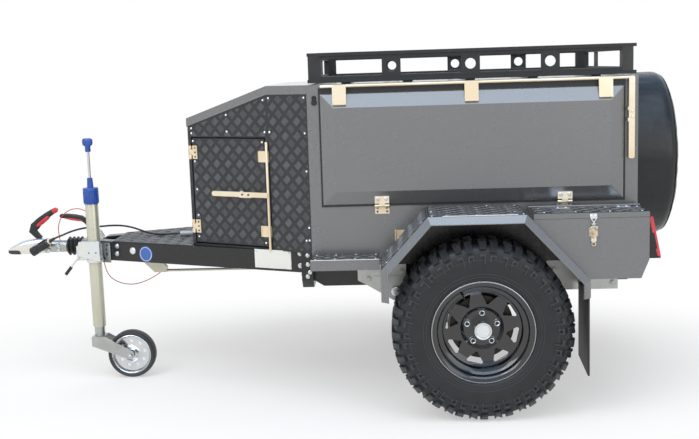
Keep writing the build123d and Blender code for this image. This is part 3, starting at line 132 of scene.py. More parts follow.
# The bars are pressed from the same black sheet but coloured far lighter: a painted highlight on them.
TREAD_BAR_HIGHLIGHT = material("tread_bars", (0.17, 0.17, 0.178), 0.32, 0.3, tint=(0.24, 0.24, 0.255), patch=30)
CHASSIS = material("chassis_black", (0.009, 0.009, 0.010), 0.28, 0.1, grain=500, bump=0.08, coat=0.2)
RACK = material("rack_powder_coat", (0.013, 0.0135, 0.015), 0.42, 0.1, grain=1200, bump=0.3, rough_span=0.05)
GALVANISED = material("galvanised_steel", (0.40, 0.41, 0.40), 0.34, 0.85, tint=(0.56, 0.56, 0.52), patch=16,
                      patch_mix=0.6, grain=160, bump=0.04, rough_span=0.07)
ZINC = material("yellow_zinc_plate", (0.80, 0.64, 0.40), 0.32, 0.6, tint=(0.93, 0.87, 0.75),
                patch_mix=0.8, grain=300, bump=0.006, rough_span=0.03)
PALE_ZINC = material("pale_zinc_plate", (0.80, 0.78, 0.70), 0.24, 0.8, tint=(0.66, 0.74, 0.84), patch=9,
                     patch_mix=0.8, grain=300, bump=0.006, rough_span=0.03)
TUBE_ZINC = material("warm_zinc_tube", (0.56, 0.55, 0.44), 0.32, 0.6, tint=(0.66, 0.645, 0.52), patch=4,
                     patch_mix=0.6, grain=300, bump=0.006, rough_span=0.02)
LATCH = material("brass_latch", (0.42, 0.30, 0.17), 0.26, 0.9, tint=(0.92, 0.86, 0.72), patch=60,
                 patch_mix=1.0, grain=300, bump=0.03)
STEEL = material("bright_steel", (0.62, 0.63, 0.64), 0.22, 1.0, patch=30, grain=500, bump=0.03)
RIVET = material("aluminium_rivet", (0.88, 0.89, 0.90), 0.25, 0.8, patch=60, grain=600, bump=0.02)
# The tyre's lighter edge colour is a painted highlight on the edges of its lugs.
TYRE = material("tyre_rubber", (0.0075, 0.0078, 0.0085), 0.5, tint=(0.016, 0.017, 0.019), patch=18,
                patch_mix=0.6, grain=420, bump=0.3, edge_highlight=(0.034, 0.036, 0.041))
RUBBER = material("matt_rubber", (0.012, 0.012, 0.013), 0.48, tint=(0.024, 0.024, 0.026), patch=20,
                  grain=380, bump=0.25)
GREY_RUBBER = material("grey_rubber", (0.03, 0.03, 0.032), 0.55, tint=(0.055, 0.055, 0.056), patch=22,
                       grain=380, bump=0.2)
WHEEL = material("gloss_black_wheel", (0.006, 0.006, 0.007), 0.16, tint=(0.012, 0.012, 0.013), patch=9,
                 grain=700, bump=0.02, coat=0.8, coat_rough=0.06)
RIM_LINE = material("bare_rim_edge", (0.34, 0.35, 0.36), 0.25, 0.9, patch=30, bump=0.02)
IRON = material("drum_iron", (0.022, 0.02, 0.018), 0.5, 0.5, tint=(0.05, 0.042, 0.034), patch=25,
                patch_mix=0.8, grain=220, bump=0.25)
BLUE = material("blue_plastic", (0.022, 0.075, 0.34), 0.34, tint=(0.04, 0.12, 0.46), patch=30, grain=420,
                bump=0.06)
RED = material("red_plastic", (0.62, 0.022, 0.03), 0.3, tint=(0.72, 0.05, 0.05), patch=30, grain=420,
               bump=0.06)
BLACK = material("black_plastic", (0.012, 0.012, 0.013), 0.38, tint=(0.026, 0.026, 0.028), patch=30,
                 grain=420, bump=0.12)
SHEATH = material("cable_sheath", (0.016, 0.017, 0.02), 0.38, tint=(0.034, 0.036, 0.044), patch=18,
                  grain=300, bump=0.08)
CABLE_RED = material("red_cable_sheath", (0.5, 0.03, 0.045), 0.35, tint=(0.6, 0.1, 0.1), patch=25)
SLEEVE = material("pale_sleeve", (0.58, 0.6, 0.62), 0.45, tint=(0.7, 0.71, 0.72), patch=20)
VINYL = material("black_vinyl", (0.012, 0.0125, 0.0135), 0.27, tint=(0.022, 0.023, 0.025), patch=5,
                 patch_mix=0.6, grain=260, bump=0.2, rough_span=0.05, specular=0.4)
PLATE_WHITE = material("blank_plate", (0.74, 0.73, 0.68), 0.4, tint=(0.8, 0.79, 0.75), patch=20)
SIGN_BLUE = material("blank_blue_sign", (0.05, 0.13, 0.42), 0.35, tint=(0.07, 0.17, 0.5), patch=40)
LENS = material("red_lens", (0.62, 0.03, 0.04), 0.12, tint=(0.72, 0.06, 0.07), patch=50, grain=120,
                bump=0.25, coat=0.6)
FLOOR = material("pale_floor", (0.88, 0.88, 0.875), 0.8, tint=(0.91, 0.91, 0.905), patch=0.6, grain=40,
                 bump=0.02, specular=0.0)


# Objects and meshes

def link(name, data):
    """A new object in the scene."""
    obj = bpy.data.objects.new(name, data)
    bpy.context.scene.collection.objects.link(obj)
    return obj


def shade(mesh, angle):
    """Smooth a mesh up to an angle in degrees. At 0 its faces stay flat."""
    mesh.polygons.foreach_set("use_smooth", [angle > 0] * len(mesh.polygons))
    if angle:
        mesh.set_sharp_from_angle(angle=math.radians(angle))


def dress(obj, mat, body, replaces=()):
    """Give an object its material and body, and hide the nodes that it stands for."""
    obj.data.materials.append(mat)
    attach(obj, body)
    if replaces:
        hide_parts(*replaces)
    return obj


def piece(name, verts, faces, mat, body="trailer", angle=30, slot=None, replaces=()):
    """A mesh from mm points, riding on a CAD body."""
    mesh = bpy.data.meshes.new(name)
    mesh.from_pydata([[c / 1000 for c in v] for v in verts], [], faces)
    mesh.validate()
    build = bmesh.new()
    build.from_mesh(mesh)
    bmesh.ops.remove_doubles(build, verts=build.verts, dist=0.00001)
    bmesh.ops.recalc_face_normals(build, faces=build.faces)
    build.to_mesh(mesh)
    build.free()
    shade(mesh, angle)
    return dress(link(name, mesh), mat, body, replaces)


def cut(obj, heap, body, angle):
    """Cut a heap's forms out of an object for good."""
    cutter = piece("cutter", heap.verts, heap.faces, obj.data.materials[0], body)
    tool = obj.modifiers.new("cut", "BOOLEAN")
    tool.object = cutter
    tool.operation = "DIFFERENCE"
    tool.solver = "EXACT"
    bpy.context.view_layer.update()
    graph = bpy.context.evaluated_depsgraph_get()
    mesh = bpy.data.meshes.new_from_object(obj.evaluated_get(graph))
    obj.modifiers.clear()
    obj.data = mesh
    bpy.data.objects.remove(cutter)
    shade(mesh, angle)


def circle(radius, count, start=0.0):
    """Points on a circle round the origin."""
    turns = [start + 2 * math.pi * k / count for k in range(count)]
    return [(radius * math.cos(turn), radius * math.sin(turn)) for turn in turns]


def rounded(half_u, half_v, power, count):
    """Points on a box section with rounded corners: the lower the power, the squarer it is."""
    return [(half_u * math.copysign(abs(c) ** power, c), half_v * math.copysign(abs(s) ** power, s))
            for c, s in circle(1, count)]


def box(u0, u1, v0, v1):
    """Outline of a rectangle, counter-clockwise."""
    return [(u0, v0), (u1, v0), (u1, v1), (u0, v1)]


class Heap:
    """Many small forms gathered in one mesh."""

    def __init__(self):
        self.verts = []
        self.faces = []

    def skin(self, rings, low=True, high=True):
        """Faces between closed rings of points, with a cap on the first and the last ring."""
        start, count = len(self.verts), len(rings[0])
        last = start + count * (len(rings) - 1)
        for ring in rings:
            self.verts += ring
        for here, i in product(range(start, last, count), range(count)):
            there, j = here + count, (i + 1) % count
            self.faces.append([here + i, here + j, there + j, there + i])
        if low:
            self.faces.append([start + i for i in reversed(range(count))])
        if high:
            self.faces.append([last + i for i in range(count)])

    def lathe(self, profile, seat, segments=24, close=False):
        """Turn (radius, height) points about the local Z axis of a place."""
        start, count = len(self.verts), len(profile)
        for c, s in circle(1, segments):
            self.verts += [seat @ Vector((radius * c, radius * s, height)) for radius, height in profile]
        for k, i in product(range(segments), range(count if close else count - 1)):
            here, there, j = start + k * count, start + (k + 1) % segments * count, (i + 1) % count
            self.faces.append([here + i, there + i, there + j, here + j])

    def prism(self, outline, seat, low, high, inset=0.0):
        """Extrude a flat outline along local Z, with its top drawn in by inset."""
        spots = [Vector(p) for p in outline]
        mid = sum(spots, Vector((0, 0))) / len(spots)
        rings = []
        for height, shrink in ((low, 0.0), (high - inset, 0.0), (high, inset)):
            moved = [p + (mid - p).normalized() * min(shrink, (mid - p).length) for p in spots]
            rings.append([seat @ Vector((*p, height)) for p in moved])
        self.skin(rings)

    def tube(self, points, radius, segments, caps=True):
        """A round tube through points."""
        side = None
        rings = []
        for i, point in enumerate(points):
            ahead = points[min(i + 1, len(points) - 1)] - points[max(i - 1, 0)]
            ahead.normalize()
            if side is None:
                side = ahead.orthogonal().normalized()
            side = (side - ahead * side.dot(ahead)).normalized()
            other = ahead.cross(side)
            rings.append([point + side * x + other * y for x, y in circle(radius, segments)])
        self.skin(rings, caps, caps)

    def make(self, name, mat, body="trailer", **options):
        """The whole heap as one piece."""
        return piece(name, self.verts, self.faces, mat, body, **options)


def heaps(count):
    """A number of empty heaps."""
    return [Heap() for _ in range(count)]


def lathed(name, mat, profile, seat, segments, body="trailer", **options):
    """A piece that is one turned form."""
    heap = Heap()
    heap.lathe(profile, seat, segments)
    return heap.make(name, mat, body, **options)


# Places: a matrix puts a form's own axes at a point in mm

def at(origin, x_dir, z_dir):
    """A place from an origin, a local X direction and a local Z direction."""
    z = Vector(z_dir).normalized()
    x = Vector(x_dir)
    x = (x - z * x.dot(z)).normalized()
    matrix = Matrix((x, z.cross(x), z)).transposed().to_4x4()
    matrix.translation = Vector(origin)
    return matrix


def flip(matrix, side):
    """The same place on the right-hand side, mirrored in the middle plane."""
    return matrix if side < 0 else Matrix.Diagonal((1, -1, 1, 1)) @ matrix


def shift(seat, x, y, z=0.0):
    """A place moved along its own axes."""
    return seat @ Matrix.Translation((x, y, z))


def spokes(seat, count, start=0.0):
    """A place turned evenly about its own Z axis."""
    return [seat @ Matrix.Rotation(start + 2 * math.pi * k / count, 4, "Z") for k in range(count)]


def swung(origin, angle):
    """A place on an upright face that turns outwards by an angle to the rear, Z outwards and Y up."""
    return at(origin, (math.cos(angle), -math.sin(angle), 0), (-math.sin(angle), -math.cos(angle), 0))


def wall_seat(y, side):
    """A place on a side wall, X to the rear, Y up and Z outwards."""
    return flip(at((0, -y, 0), (1, 0, 0), (0, -1, 0)), side)


def top_seat(z, side):
    """A level place, X to the rear and Y to the trailer's right, mirrored on that side."""
    return flip(at((0, 0, z), (1, 0, 0), (0, 0, 1)), side)


# Camera, fitted to the photo

FOCAL_PIXELS, PHOTO_PIXELS, SENSOR = 1048.9, 699, 36.0
yaw, pitch, roll = -0.0479, 0.146, -0.032
ahead = Vector((math.sin(yaw) * math.cos(pitch), math.cos(yaw) * math.cos(pitch), -math.sin(pitch)))
right = Vector((math.cos(yaw), -math.sin(yaw), 0))
up = right.cross(ahead)
cam_x = math.cos(roll) * right + math.sin(roll) * up
cam_y = -math.sin(roll) * right + math.cos(roll) * up
camera = link("camera", bpy.data.cameras.new("camera"))
camera.matrix_world = Matrix((cam_x, cam_y, -ahead)).transposed().to_4x4()
camera.location = (0.33585, -4.947, 1.436)
camera.data.sensor_width = SENSOR
camera.data.lens = FOCAL_PIXELS * SENSOR / PHOTO_PIXELS
bpy.context.scene.camera = camera

# Free cords: the points repeat the CAD routes

LEAD = [(-713.15, -20, 665), (-750, -20, 665), (-786, -14, 660), (-832, 4, 659), (-880, 34, 662),
        (-926, 62, 672), (-972, 76, 686), (-1020, 72, 696), (-1062, 48, 701), (-1100, 14, 703),
        (-1142, -16, 705), (-1190, -38, 702), (-1236, -52, 691), (-1278, -59, 674),
        (-1309.96, -60, 663.5), (-1342, -60, 645)]
BREAKAWAY = [(-812, 17.3, 484), (-838, 36, 462), (-899, 80, 424), (-957, 105, 400), (-1003, 115, 392),
             (-1045, 115, 398), (-1083, 108, 416), (-1110, 96, 447), (-1121, 84, 495), (-1124, 76, 550),
             (-1126, 70, 610), (-1130, 66, 668), (-1142, 56, 722), (-1168, 34, 770), (-1210, 10, 796),
             (-1258, -8, 788), (-1294, -15, 752), (-1308, -16, 704), (-1306, -14, 674), (-1304, -12, 646.5)]


def cord(name, points, diameter, mat, body, node):
    """A smooth free cord along its route."""
    curve = bpy.data.curves.new(name, "CURVE")
    curve.dimensions = "3D"
    curve.bevel_depth = diameter / 2000
    curve.bevel_resolution = 4
    curve.use_fill_caps = True
    spline = curve.splines.new("NURBS")
    spline.points.add(len(points) - 1)
    for target, point in zip(spline.points, points):
        target.co = (*[c / 1000 for c in point], 1.0)
    spline.order_u = 3
    spline.use_endpoint_u = True
    curve.resolution_u = 10
    obj = dress(link(name, curve), mat, body, (node,))


# Lead plug: ribbed body, cap and strain relief, along the plug's own axis
PLUG_TILT = math.radians(30)
plug_seat = at(LEAD[-1], (0, 1, 0), (-math.cos(PLUG_TILT), 0, -math.sin(PLUG_TILT)))
heap = Heap()
heap.lathe([(4.5, -34), (6.5, -30), (9, -4), (14, 0), (19.5, 6), (21, 14), (21.5, 40), (22, 42), (22, 50),
            (20.5, 52), (20.5, 74), (22, 76), (22, 97), (20, 100), (17, 100), (17, 92), (0, 92)],
           plug_seat, 40)
for rib in spokes(plug_seat, 18):
    heap.prism([(20.6, -1.3), (22, -0.8), (22, 0.8), (20.6, 1.3)], rib, 15, 39, 0.4)
plug = heap.make("plug_body", BLACK, angle=35, slot="black_plastic", replaces=("lead_plug",))
plug_ring = lathed("plug_ring", LATCH, [(9.4, -6), (14.5, -5), (16, -1), (16, 3), (20, 6.5), (14, 5)],
                   plug_seat, 32, angle=40)

cord("lead", LEAD, 9.0, SHEATH, "trailer", "electrical_lead")
cord("safety_cable", BREAKAWAY, 4.0, CABLE_RED, "trailer", "breakaway_cable")


# CAD nodes that keep their shape: a better finish, and edges rounded by a bevel in mm

FINISHES = (
    (PAINT, 1.0, "body_floor side_steps"),
    (PAINT, 1.2, "fenders"),
    (PAINT, 1.5, "body_end_walls side_boxes side_box_lid_left side_box_lid_right"),
    (PAINT, 2.0, "body_roof body_sides nose_lid"),
    (PAINT, 2.5, "side_door_left side_door_right"),
    (TREAD, 0.5, "nose_floor"),
    (TREAD, 0.8, "drawbar_deck"),
    (TREAD, 1.0, "nose_front_panel nose_sides"),
    (TREAD, 1.5, "nose_door_left nose_door_right"),
    (ZINC, 0.6, "side_door_hinges nose_door_hinges"),
    (ZINC, 1.0, "side_door_fittings_left side_door_fittings_right nose_door_fittings_left"),
    (ZINC, 1.0, "nose_door_fittings_right"),
    (CHASSIS, 1.0, "leaf_springs"),
    (CHASSIS, 2.0, "chassis_rails crossmembers"),
    (CHASSIS, 3.0, "drawbar_beams"),
    (GALVANISED, 1.0, "jockey_inner_tube"),
    (GALVANISED, 1.5, "spring_hangers jockey_fork"),
    (GALVANISED, 2.0, "overrun_housing axle_beam"),
    (PALE_ZINC, 0.5, "box_lid_catch_left box_lid_catch_right"),
    (PALE_ZINC, 2.0, "jockey_clamp"),
    (TUBE_ZINC, 0.8, "brake_rod"),
    (TUBE_ZINC, 1.0, "jockey_tube"),
    (IRON, 2.0, "brake_drum_left brake_drum_right"),
    (RACK, 2.5, "rack_sides rack_ends rack_corners_and_bars"),
    (LATCH, 0.6, "box_latches"),
    (RUBBER, 1.5, "mud_flaps"),
    (SLEEVE, 2.0, "lead_gland"),
)
for mat, edge, names in FINISHES:
    for name in names.split():
        obj = nodes[name]
        obj.data.materials.clear()
        obj.data.materials.append(mat)
        obj.modifiers.new("weld", "WELD").merge_threshold = 0.00002
        bevel = obj.modifiers.new("edges", "BEVEL")
        bevel.width = edge / 1000
        bevel.segments = 2
        bevel.limit_method = "ANGLE"
        bevel.angle_limit = math.radians(30)
        bevel.harden_normals = False


# Tyres: a carcass turned about the axle line, with lugs laid on its surface

# (half-width, radius) points from the middle of the tread to the bead
OUTLINE = [(0, 355), (40, 355), (78, 353), (92, 349), (102, 341), (109, 329), (113, 315), (115.5, 298),
           (116.5, 280), (116.8, 262), (115, 245), (111.5, 230), (107.5, 221), (105.5, 215), (103, 212),
           (99, 209)]
LUGS = 22
LUG_TURN = 2 * math.pi / LUGS
WIDEST = 120.5


def on_carcass(distance):
    """(half-width, radius, tilt) at a distance along the carcass from its centre line."""
    gone = 0.0
    for (y0, r0), (y1, r1) in zip(OUTLINE, OUTLINE[1:]):
        step = math.hypot(y1 - y0, r1 - r0)
        if gone + step >= distance:
            part = (distance - gone) / step
            return y0 + part * (y1 - y0), r0 + part * (r1 - r0), math.atan2(r0 - r1, y1 - y0)
        gone += step
    return *OUTLINE[-1], math.pi / 2


def lug(heap, outline, turn, lift, ramp=1.5):
    """A block on the tyre: its outline goes round the tyre and out from the centre line, in mm."""
    count = len(outline)
    mid = (sum(p[0] for p in outline) / count, sum(p[1] for p in outline) / count)
    rings = []
    for height, shrink in ((-2.0, 0.0), (lift - 1.2, 0.5), (lift, ramp)):
        ring = []
        for s, d in outline:
            length = math.hypot(mid[0] - s, mid[1] - d)
            s += (mid[0] - s) / length * shrink
            d += (mid[1] - d) / length * shrink
            y, r, tilt = on_carcass(abs(d))
            tilt = (on_carcass(max(abs(d) - 4, 0))[2] + tilt + on_carcass(abs(d) + 4)[2]) / 3
            y = math.copysign(min(y + height * math.sin(tilt), WIDEST), d)
            r = min(r + height * math.cos(tilt), TYRE_RADIUS - 0.1)
            angle = turn + s / TREAD_RADIUS
            ring.append(Vector((r * math.cos(angle), y, r * math.sin(angle))))
        rings.append(ring)
    heap.skin(rings, low=False)


def dense(outline, step=9.0):
    """Add points along an outline's long edges, so that it bends round the shoulder."""
    points = []
    for (s0, d0), (s1, d1) in zip(outline, outline[1:] + outline[:1]):
        count = max(1, round(math.hypot(s1 - s0, d1 - d0) / step))
        points += [(s0 + (s1 - s0) * k / count, d0 + (d1 - d0) * k / count) for k in range(count)]
    return points


# (outline, share of the pitch round the tyre, lift) of the shoulder and centre lugs, and the side hooks
BLOCKS = [
    (dense([(-21, 56), (-13, 52), (6, 55), (10, 64), (9, 100), (7, 122), (-20, 122), (-21, 96)]), 0.0, 13.0),
    (dense([(-16, 62), (-2, 58), (14, 60), (17, 72), (16, 96), (13, 112), (-13, 112), (-15, 90)]), 0.5, 13.0),
    (dense([(-22, 4), (-8, 3), (4, 14), (12, 30), (10, 44), (-8, 46), (-14, 30), (-24, 18)]), 0.0, 12.0),
    (dense([(-16, 8), (0, 3), (16, 12), (20, 28), (8, 34), (-2, 26), (-14, 24)]), 0.5, 12.0),
]
HOOKS = [
    dense([(-18, 132), (12, 132), (12, 152), (4, 152), (4, 141), (-10, 141), (-10, 160), (-18, 160)], 12),
    dense([(-14, 128), (14, 128), (14, 168), (7, 168), (7, 138), (-14, 138)], 12),
]


def side_line(radius):
    """Half-width of the carcass at a radius on its side wall."""
    for (y0, r0), (y1, r1) in zip(OUTLINE, OUTLINE[1:]):
        if r1 <= radius < r0:
            return y0 + (y1 - y0) * (r0 - radius) / (r0 - r1)


def build_tyre(label, side):
    """Carcass and lugs of one tyre, made round the origin and moved to its wheel."""
    spin = at((0, 0, 0), (1, 0, 0), (0, 1, 0))
    half = [(r, y) for y, r in OUTLINE] + [(208.4, 96), (200, 90)]
    heap = Heap()
    heap.lathe([(r, -y) for r, y in reversed(half)] + half[1:], spin, 132)
    for sign in (-1, 1):
        for r, rise in ((296, 1.0), (240, 1.2), (228, 1.4)):
            foot, top = side_line(r) - 0.6, min(side_line(r) + rise, 117.4)
            heap.lathe([(r + 2.2, sign * foot), (r + 1.2, sign * top), (r - 1.2, sign * top),
                        (r - 2.2, sign * foot)], spin, 132)
        for index in range(LUGS):
            base = LUG_TURN * (index + (0.5 if sign > 0 else 0))
            for outline, share, lift in BLOCKS:
                lug(heap, [(sign * s, sign * d) for s, d in outline], base + share * LUG_TURN, lift)
            for k, outline in enumerate(HOOKS):
                lug(heap, [(sign * s, sign * d) for s, d in outline], base + 0.5 * k * LUG_TURN, 4.6, 1.0)
    place = Vector((AXLE_X, side * WHEEL_Y, AXLE_Z))
    heap.verts = [vert + place for vert in heap.verts]
    heap.make(f"tyre_{label}_rubber", TYRE, f"wheel_{label}", slot="tyre_rubber", replaces=(f"tyre_{label}",),
              angle=28)


# Wheels: rolled rim, dished disc with triangular windows, cap, nuts and valve

def build_wheel(label, side):
    """Steel wheel of one side. Local Z points outwards from the trailer."""
    body = f"wheel_{label}"
    hub = at((AXLE_X, side * WHEEL_Y, AXLE_Z), (-side, 0, 0), (0, side, 0))
    rim, line, disc, cuts, nuts, shade_discs = heaps(6)
    rim.lathe([(163, 12), (163, 40), (168, 52), (182, 60), (187, 66), (188, 88), (191, 94), (203, 97.5),
               (207, 99.5), (208, 101.5), (206.5, 103), (204, 102.5), (196, 98.5), (186, 94), (183, 88),
               (182, 68), (176, 62), (163, 56), (158, 42), (158, 20), (160, 12)], hub, 120, close=True)
    rim.lathe([(187.5, -88), (188, -60), (188, 0), (163, 12), (160, 12), (183, -4), (183, -60), (183, -88),
               (190, -94), (206, -99), (208, -101.5), (208, -96), (196, -90)], hub, 120, close=True)
    rim.make(f"rim_{label}_barrel", WHEEL, body, slot="rim_black", replaces=(f"rim_{label}",), angle=40)
    line.lathe([(204.2, 103.6), (207.6, 103.2), (209, 101.6), (208.6, 100.6), (205, 101.5), (203.6, 102.6)],
               hub, 120, close=True)
    line.lathe([(199, 97.4), (200.2, 98.4), (201.4, 98.2), (200.6, 97)], hub, 120, close=True)
    line.make(f"rim_{label}_edge", RIM_LINE, body, angle=50)
    disc.lathe([(37, 12), (46, 12), (74, 12), (80, 17), (88, 24), (100, 24.5), (128, 20), (140, 22),
                (150, 30), (158.5, 34), (158.5, 29), (148, 25), (140, 17.5), (128, 15.5), (100, 20),
                (90, 19.5), (82, 13), (76, 6), (46, 6), (37, 6)], hub, 120, close=True)
    window = []
    for x, y, first, last in ((108, 0, 90, 270), (138, -25, 270, 368), (138, 25, -8, 90)):
        for k in range(6):
            turn = math.radians(first + (last - first) * k / 5)
            window.append((x + 8 * math.cos(turn), y + 8 * math.sin(turn)))
    for spoke in spokes(hub, 8, math.radians(-13)):
        cuts.prism(window, spoke, 4, 44)
    cut(disc.make(f"rim_{label}_disc", WHEEL, body, slot="rim_black"), cuts, body, 35)
    lathed(f"cap_{label}", STEEL, [(37.5, 8), (37.5, 74), (36.8, 78), (35, 80.4), (31, 80.8), (28.6, 79.4),
                                   (27.6, 75)], hub, 48, body)
    lathed(f"cap_face_{label}", PALE_ZINC, [(27.8, 72), (27.6, 76), (24, 76.8), (12, 77.8), (0, 78.2)],
           hub, 48, body)
    for x, y in circle(63.5, 5, math.pi / 2):
        seat = shift(hub, x, y)
        nuts.lathe([(15, 11.8), (15, 14), (12.5, 17), (12.2, 28), (11, 31.5), (8.6, 32.4), (7, 31),
                    (6.6, 22)], seat, 24)
        nuts.prism(circle(12.8, 6), seat, 13, 21.5, 1.2)
        # A black disc in each nut's recess: painted shade.
        shade_discs.lathe([(6.8, 21.8), (6.8, 25), (5.5, 26), (0, 26)], seat, 18)
    nuts.make(f"nuts_{label}", STEEL, body)
    shade_discs.make(f"nut_shade_discs_{label}", BLACK, body)
    stem = shift(hub @ Matrix.Rotation(math.radians(118), 4, "Z"), 172, 0, 58)
    lathed(f"valve_{label}", RUBBER, [(0, 4), (5.5, 4), (5.5, 0), (4.5, 14), (3.4, 18), (3.4, 34), (3.8, 35),
                                      (3.8, 41), (3, 42.5), (0, 42.8)],
           stem @ Matrix.Rotation(math.radians(-20), 4, "Y"), 16, body, angle=35)


for build in (build_tyre, build_wheel):
    for label, side in SIDES.items():
        build(label, side)


# Spare wheel cover: sewn vinyl drawn over the wheel, with a piped edge, a hem and soft folds

def build_cover():
    """Thin skin of the cover, its face slack over the wheel and its band creased."""
    radius, front, rear, round_edge = 375.0, REAR_X + 1.3, REAR_X + 234.3, 52.0
    around, along, corner, across = 220, 13, 8, 26
    band = rear - round_edge - front - 4
    profile = [(radius - 3.5, front), (radius - 1, front + 4)]
    profile += [(radius, front + 4 + band * k / along) for k in range(1, along + 1)]
    for k in range(1, corner + 1):
        turn = math.pi / 2 * k / corner
        profile.append((radius - round_edge * (1 - math.cos(turn)), rear - round_edge * (1 - math.sin(turn))))
    profile += [((radius - round_edge) * (1 - k / across), rear) for k in range(1, across)]
    count = len(profile)
    verts, faces = [], []
    for k in range(around):
        turn = 2 * math.pi * k / around
        y, z = math.sin(turn), math.cos(turn)
        for r, x in profile:
            share = (x - front) / (rear - front)
            crease = noise.noise(Vector((turn * 9, share * 2.2, 0.5))) * 2.2
            crease += noise.noise(Vector((turn * 24, share * 3.0, 4.5))) * 0.9
            if r > radius - 1:
                r -= abs(crease) * math.sin(math.pi * min(max(share, 0), 1)) + 0.6
            elif x > rear - round_edge:
                lie = Vector((x / 90, y * 4, z * 4))
                pull = noise.noise(Vector((turn * 7, 0.3, r / 200))) * 3.2
                pull += noise.noise(Vector((r / 60 * y, r / 60 * z, 2.0))) * 2.4
                x -= abs(pull) * math.exp(-((r - 290) / 90) ** 2)
                x -= 2.0 + 5.0 * math.exp(-((r - 95) / 75) ** 2)
                x -= 1.5 * noise.noise(lie * 0.7) * r / radius
            verts.append((x, r * y, COVER_Z + r * z))
    centre = len(verts)
    verts.append((rear - 3.4, 0, COVER_Z))
    for k in range(around):
        n = (k + 1) % around
        for i in range(count - 1):
            faces.append([k * count + i, n * count + i, n * count + i + 1, k * count + i + 1])
        faces.append([k * count + count - 1, n * count + count - 1, centre])
    cover = piece("cover_skin", verts, faces, VINYL, slot="vinyl", replaces=("spare_cover",), angle=60)
    wall = cover.modifiers.new("wall", "SOLIDIFY")
    wall.thickness = 0.0014
    wall.offset = -1
    trim_and_highlight = Heap()
    for r, x, thick in ((radius - 14.5, rear - 17.5, 2.6), (radius - 0.4, front + 22, 1.1),
                        (radius + 0.2, front + 2, 2.2)):
        ring = [Vector((x, y, COVER_Z + z)) for z, y in circle(r, 180)]
        trim_and_highlight.tube(ring + ring[:1], thick, 8, caps=False)
    piping = trim_and_highlight.make("cover_piping", VINYL, slot="vinyl", angle=60)


build_cover()


# Tail lamps: a tapered housing with a dark side panel, a sloping red lens and its three fields

def slope_x(z):
    """Rear face of a tail lamp's housing at a height."""
    return 41 - (z - 641) * 0.206


for label, side in SIDES.items():
    seat = at((REAR_X, side * 735, 0), (1, 0, 0), (0, -1, 0))
    lamp, lens, fields, shade_plate = heaps(4)
    lamp.prism([(0.2, 641), (42, 641), (39, 650), (5, 801), (4, 806), (0.2, 806)], seat, -55, 55, 1.5)
    lamp.prism([(0.2, 638), (46, 638), (47, 641), (0.2, 641)], seat, -55, 55, 1.0)
    lens.prism([(34, 646), (42, 641.5), (48, 643), (15, 805), (6, 806), (0.5, 800)], seat, -55, 55.6, 2.5)
    for low, high in ((645, 690), (692, 744), (746, 800)):
        fields.prism([(slope_x(low) + 6.3, low), (slope_x(high) + 6.3, high), (slope_x(high) + 3, high),
                      (slope_x(low) + 3, low)], seat, -50, 50, 1.2)
    shade_plate.prism([(3, 676), (33, 676), (20, 741), (3, 741)], seat, 54.5, 56.2, 0.8)
    lamp.make(f"lamp_body_{label}", BLACK, slot="lamp_red", replaces=("tail_lamps",), angle=40)
    lens.make(f"lamp_lens_{label}", LENS, slot="lamp_red")
    fields.make(f"lamp_fields_{label}", LENS, slot="lamp_red")
    shade_plate.make(f"lamp_panel_{label}", CHASSIS, angle=40)


# Bellows, coupling head and its socket

FOLD = 20.0
ridge = [(24, 0.3), (33, 0.3)]
for index in range(4):
    for part, radius in ((0.0, 33.5), (0.16, 35.5), (0.34, 42.5), (0.44, 45.2), (0.5, 45.8), (0.56, 45.2),
                         (0.66, 42.5), (0.84, 35.5)):
        ridge.append((radius, (index + part) * FOLD + 0.4))
lathed("bellows_folds", RUBBER, ridge + [(33.5, 79.6), (24, 79.6)],
       at((HEAD_REAR_X, 0, 613), (0, 1, 0), (1, 0, 0)), 56, slot="rubber", replaces=("bellows",), angle=70)


def loft(heap, sections, power, around):
    """Skin over cross-sections (x from the nose, half-width, low z, high z) with rounded corners."""
    heap.skin([[Vector((NOSE_X + x, y, (low_z + high_z) / 2 + z))
                for y, z in rounded(half, (high_z - low_z) / 2, 2 / power, around)]
               for x, half, low_z, high_z in sections])


BALL, BALL_X, BALL_Z = 26, 46, 600
ball, head, bumper, tube, bolts = heaps(5)
ball.lathe([(0, BALL_Z + BALL)] + [(y, BALL_Z + z) for z, y in circle(BALL, 32)[1:9]]
           + [(BALL, 560), (0, 560)], at((NOSE_X + BALL_X, 0, 0), (1, 0, 0), (0, 0, 1)), 48)
loft(head, ((0.5, 15, 590, 604), (3, 21, 586, 608), (9, 27, 583.5, 613), (20, 31.5, 582, 619),
            (38, 34.5, 581, 628), (60, 35.8, 580.5, 639), (82, 35.8, 580, 646), (104, 35, 579.5, 650),
            (128, 33, 579, 653), (150, 30, 579.5, 654.5), (166, 27.5, 581.5, 653), (176, 26, 583, 650.5),
            (184, 26, 584, 649)), 3.2, 48)
loft(bumper, ((0.2, 14, 588, 602), (3, 22.5, 584.6, 605), (9, 28.5, 582, 607), (20, 33, 580.6, 609),
              (38, 36, 579.6, 610), (56, 37.2, 579.2, 609), (64, 36.6, 579.8, 605)), 3.2, 48)
cut(head.make("coupling_shell", PALE_ZINC, slot="zinc", replaces=("coupling_head",)), ball, "trailer", 40)
cut(bumper.make("coupling_bumper", GREY_RUBBER, slot="rubber"), ball, "trailer", 40)
loft(tube, ((180, 27.5, 583, 651), (182, 29, 582, 652), (196, 29, 582, 652), (198, 27.5, 583, 650)), 2.6, 40)
loft(tube, ((190, 26, 585, 645), (240, 26.5, 585, 642), (290.7, 26.5, 585, 641)), 2.4, 40)
tube.lathe([(5, 613), (5, 642), (4.4, 645), (3.2, 646), (0, 646)],
           at((-1304, -12, 0), (1, 0, 0), (0, 0, 1)), 20)
tube.make("coupling_tube", GALVANISED, slot="zinc", angle=40)
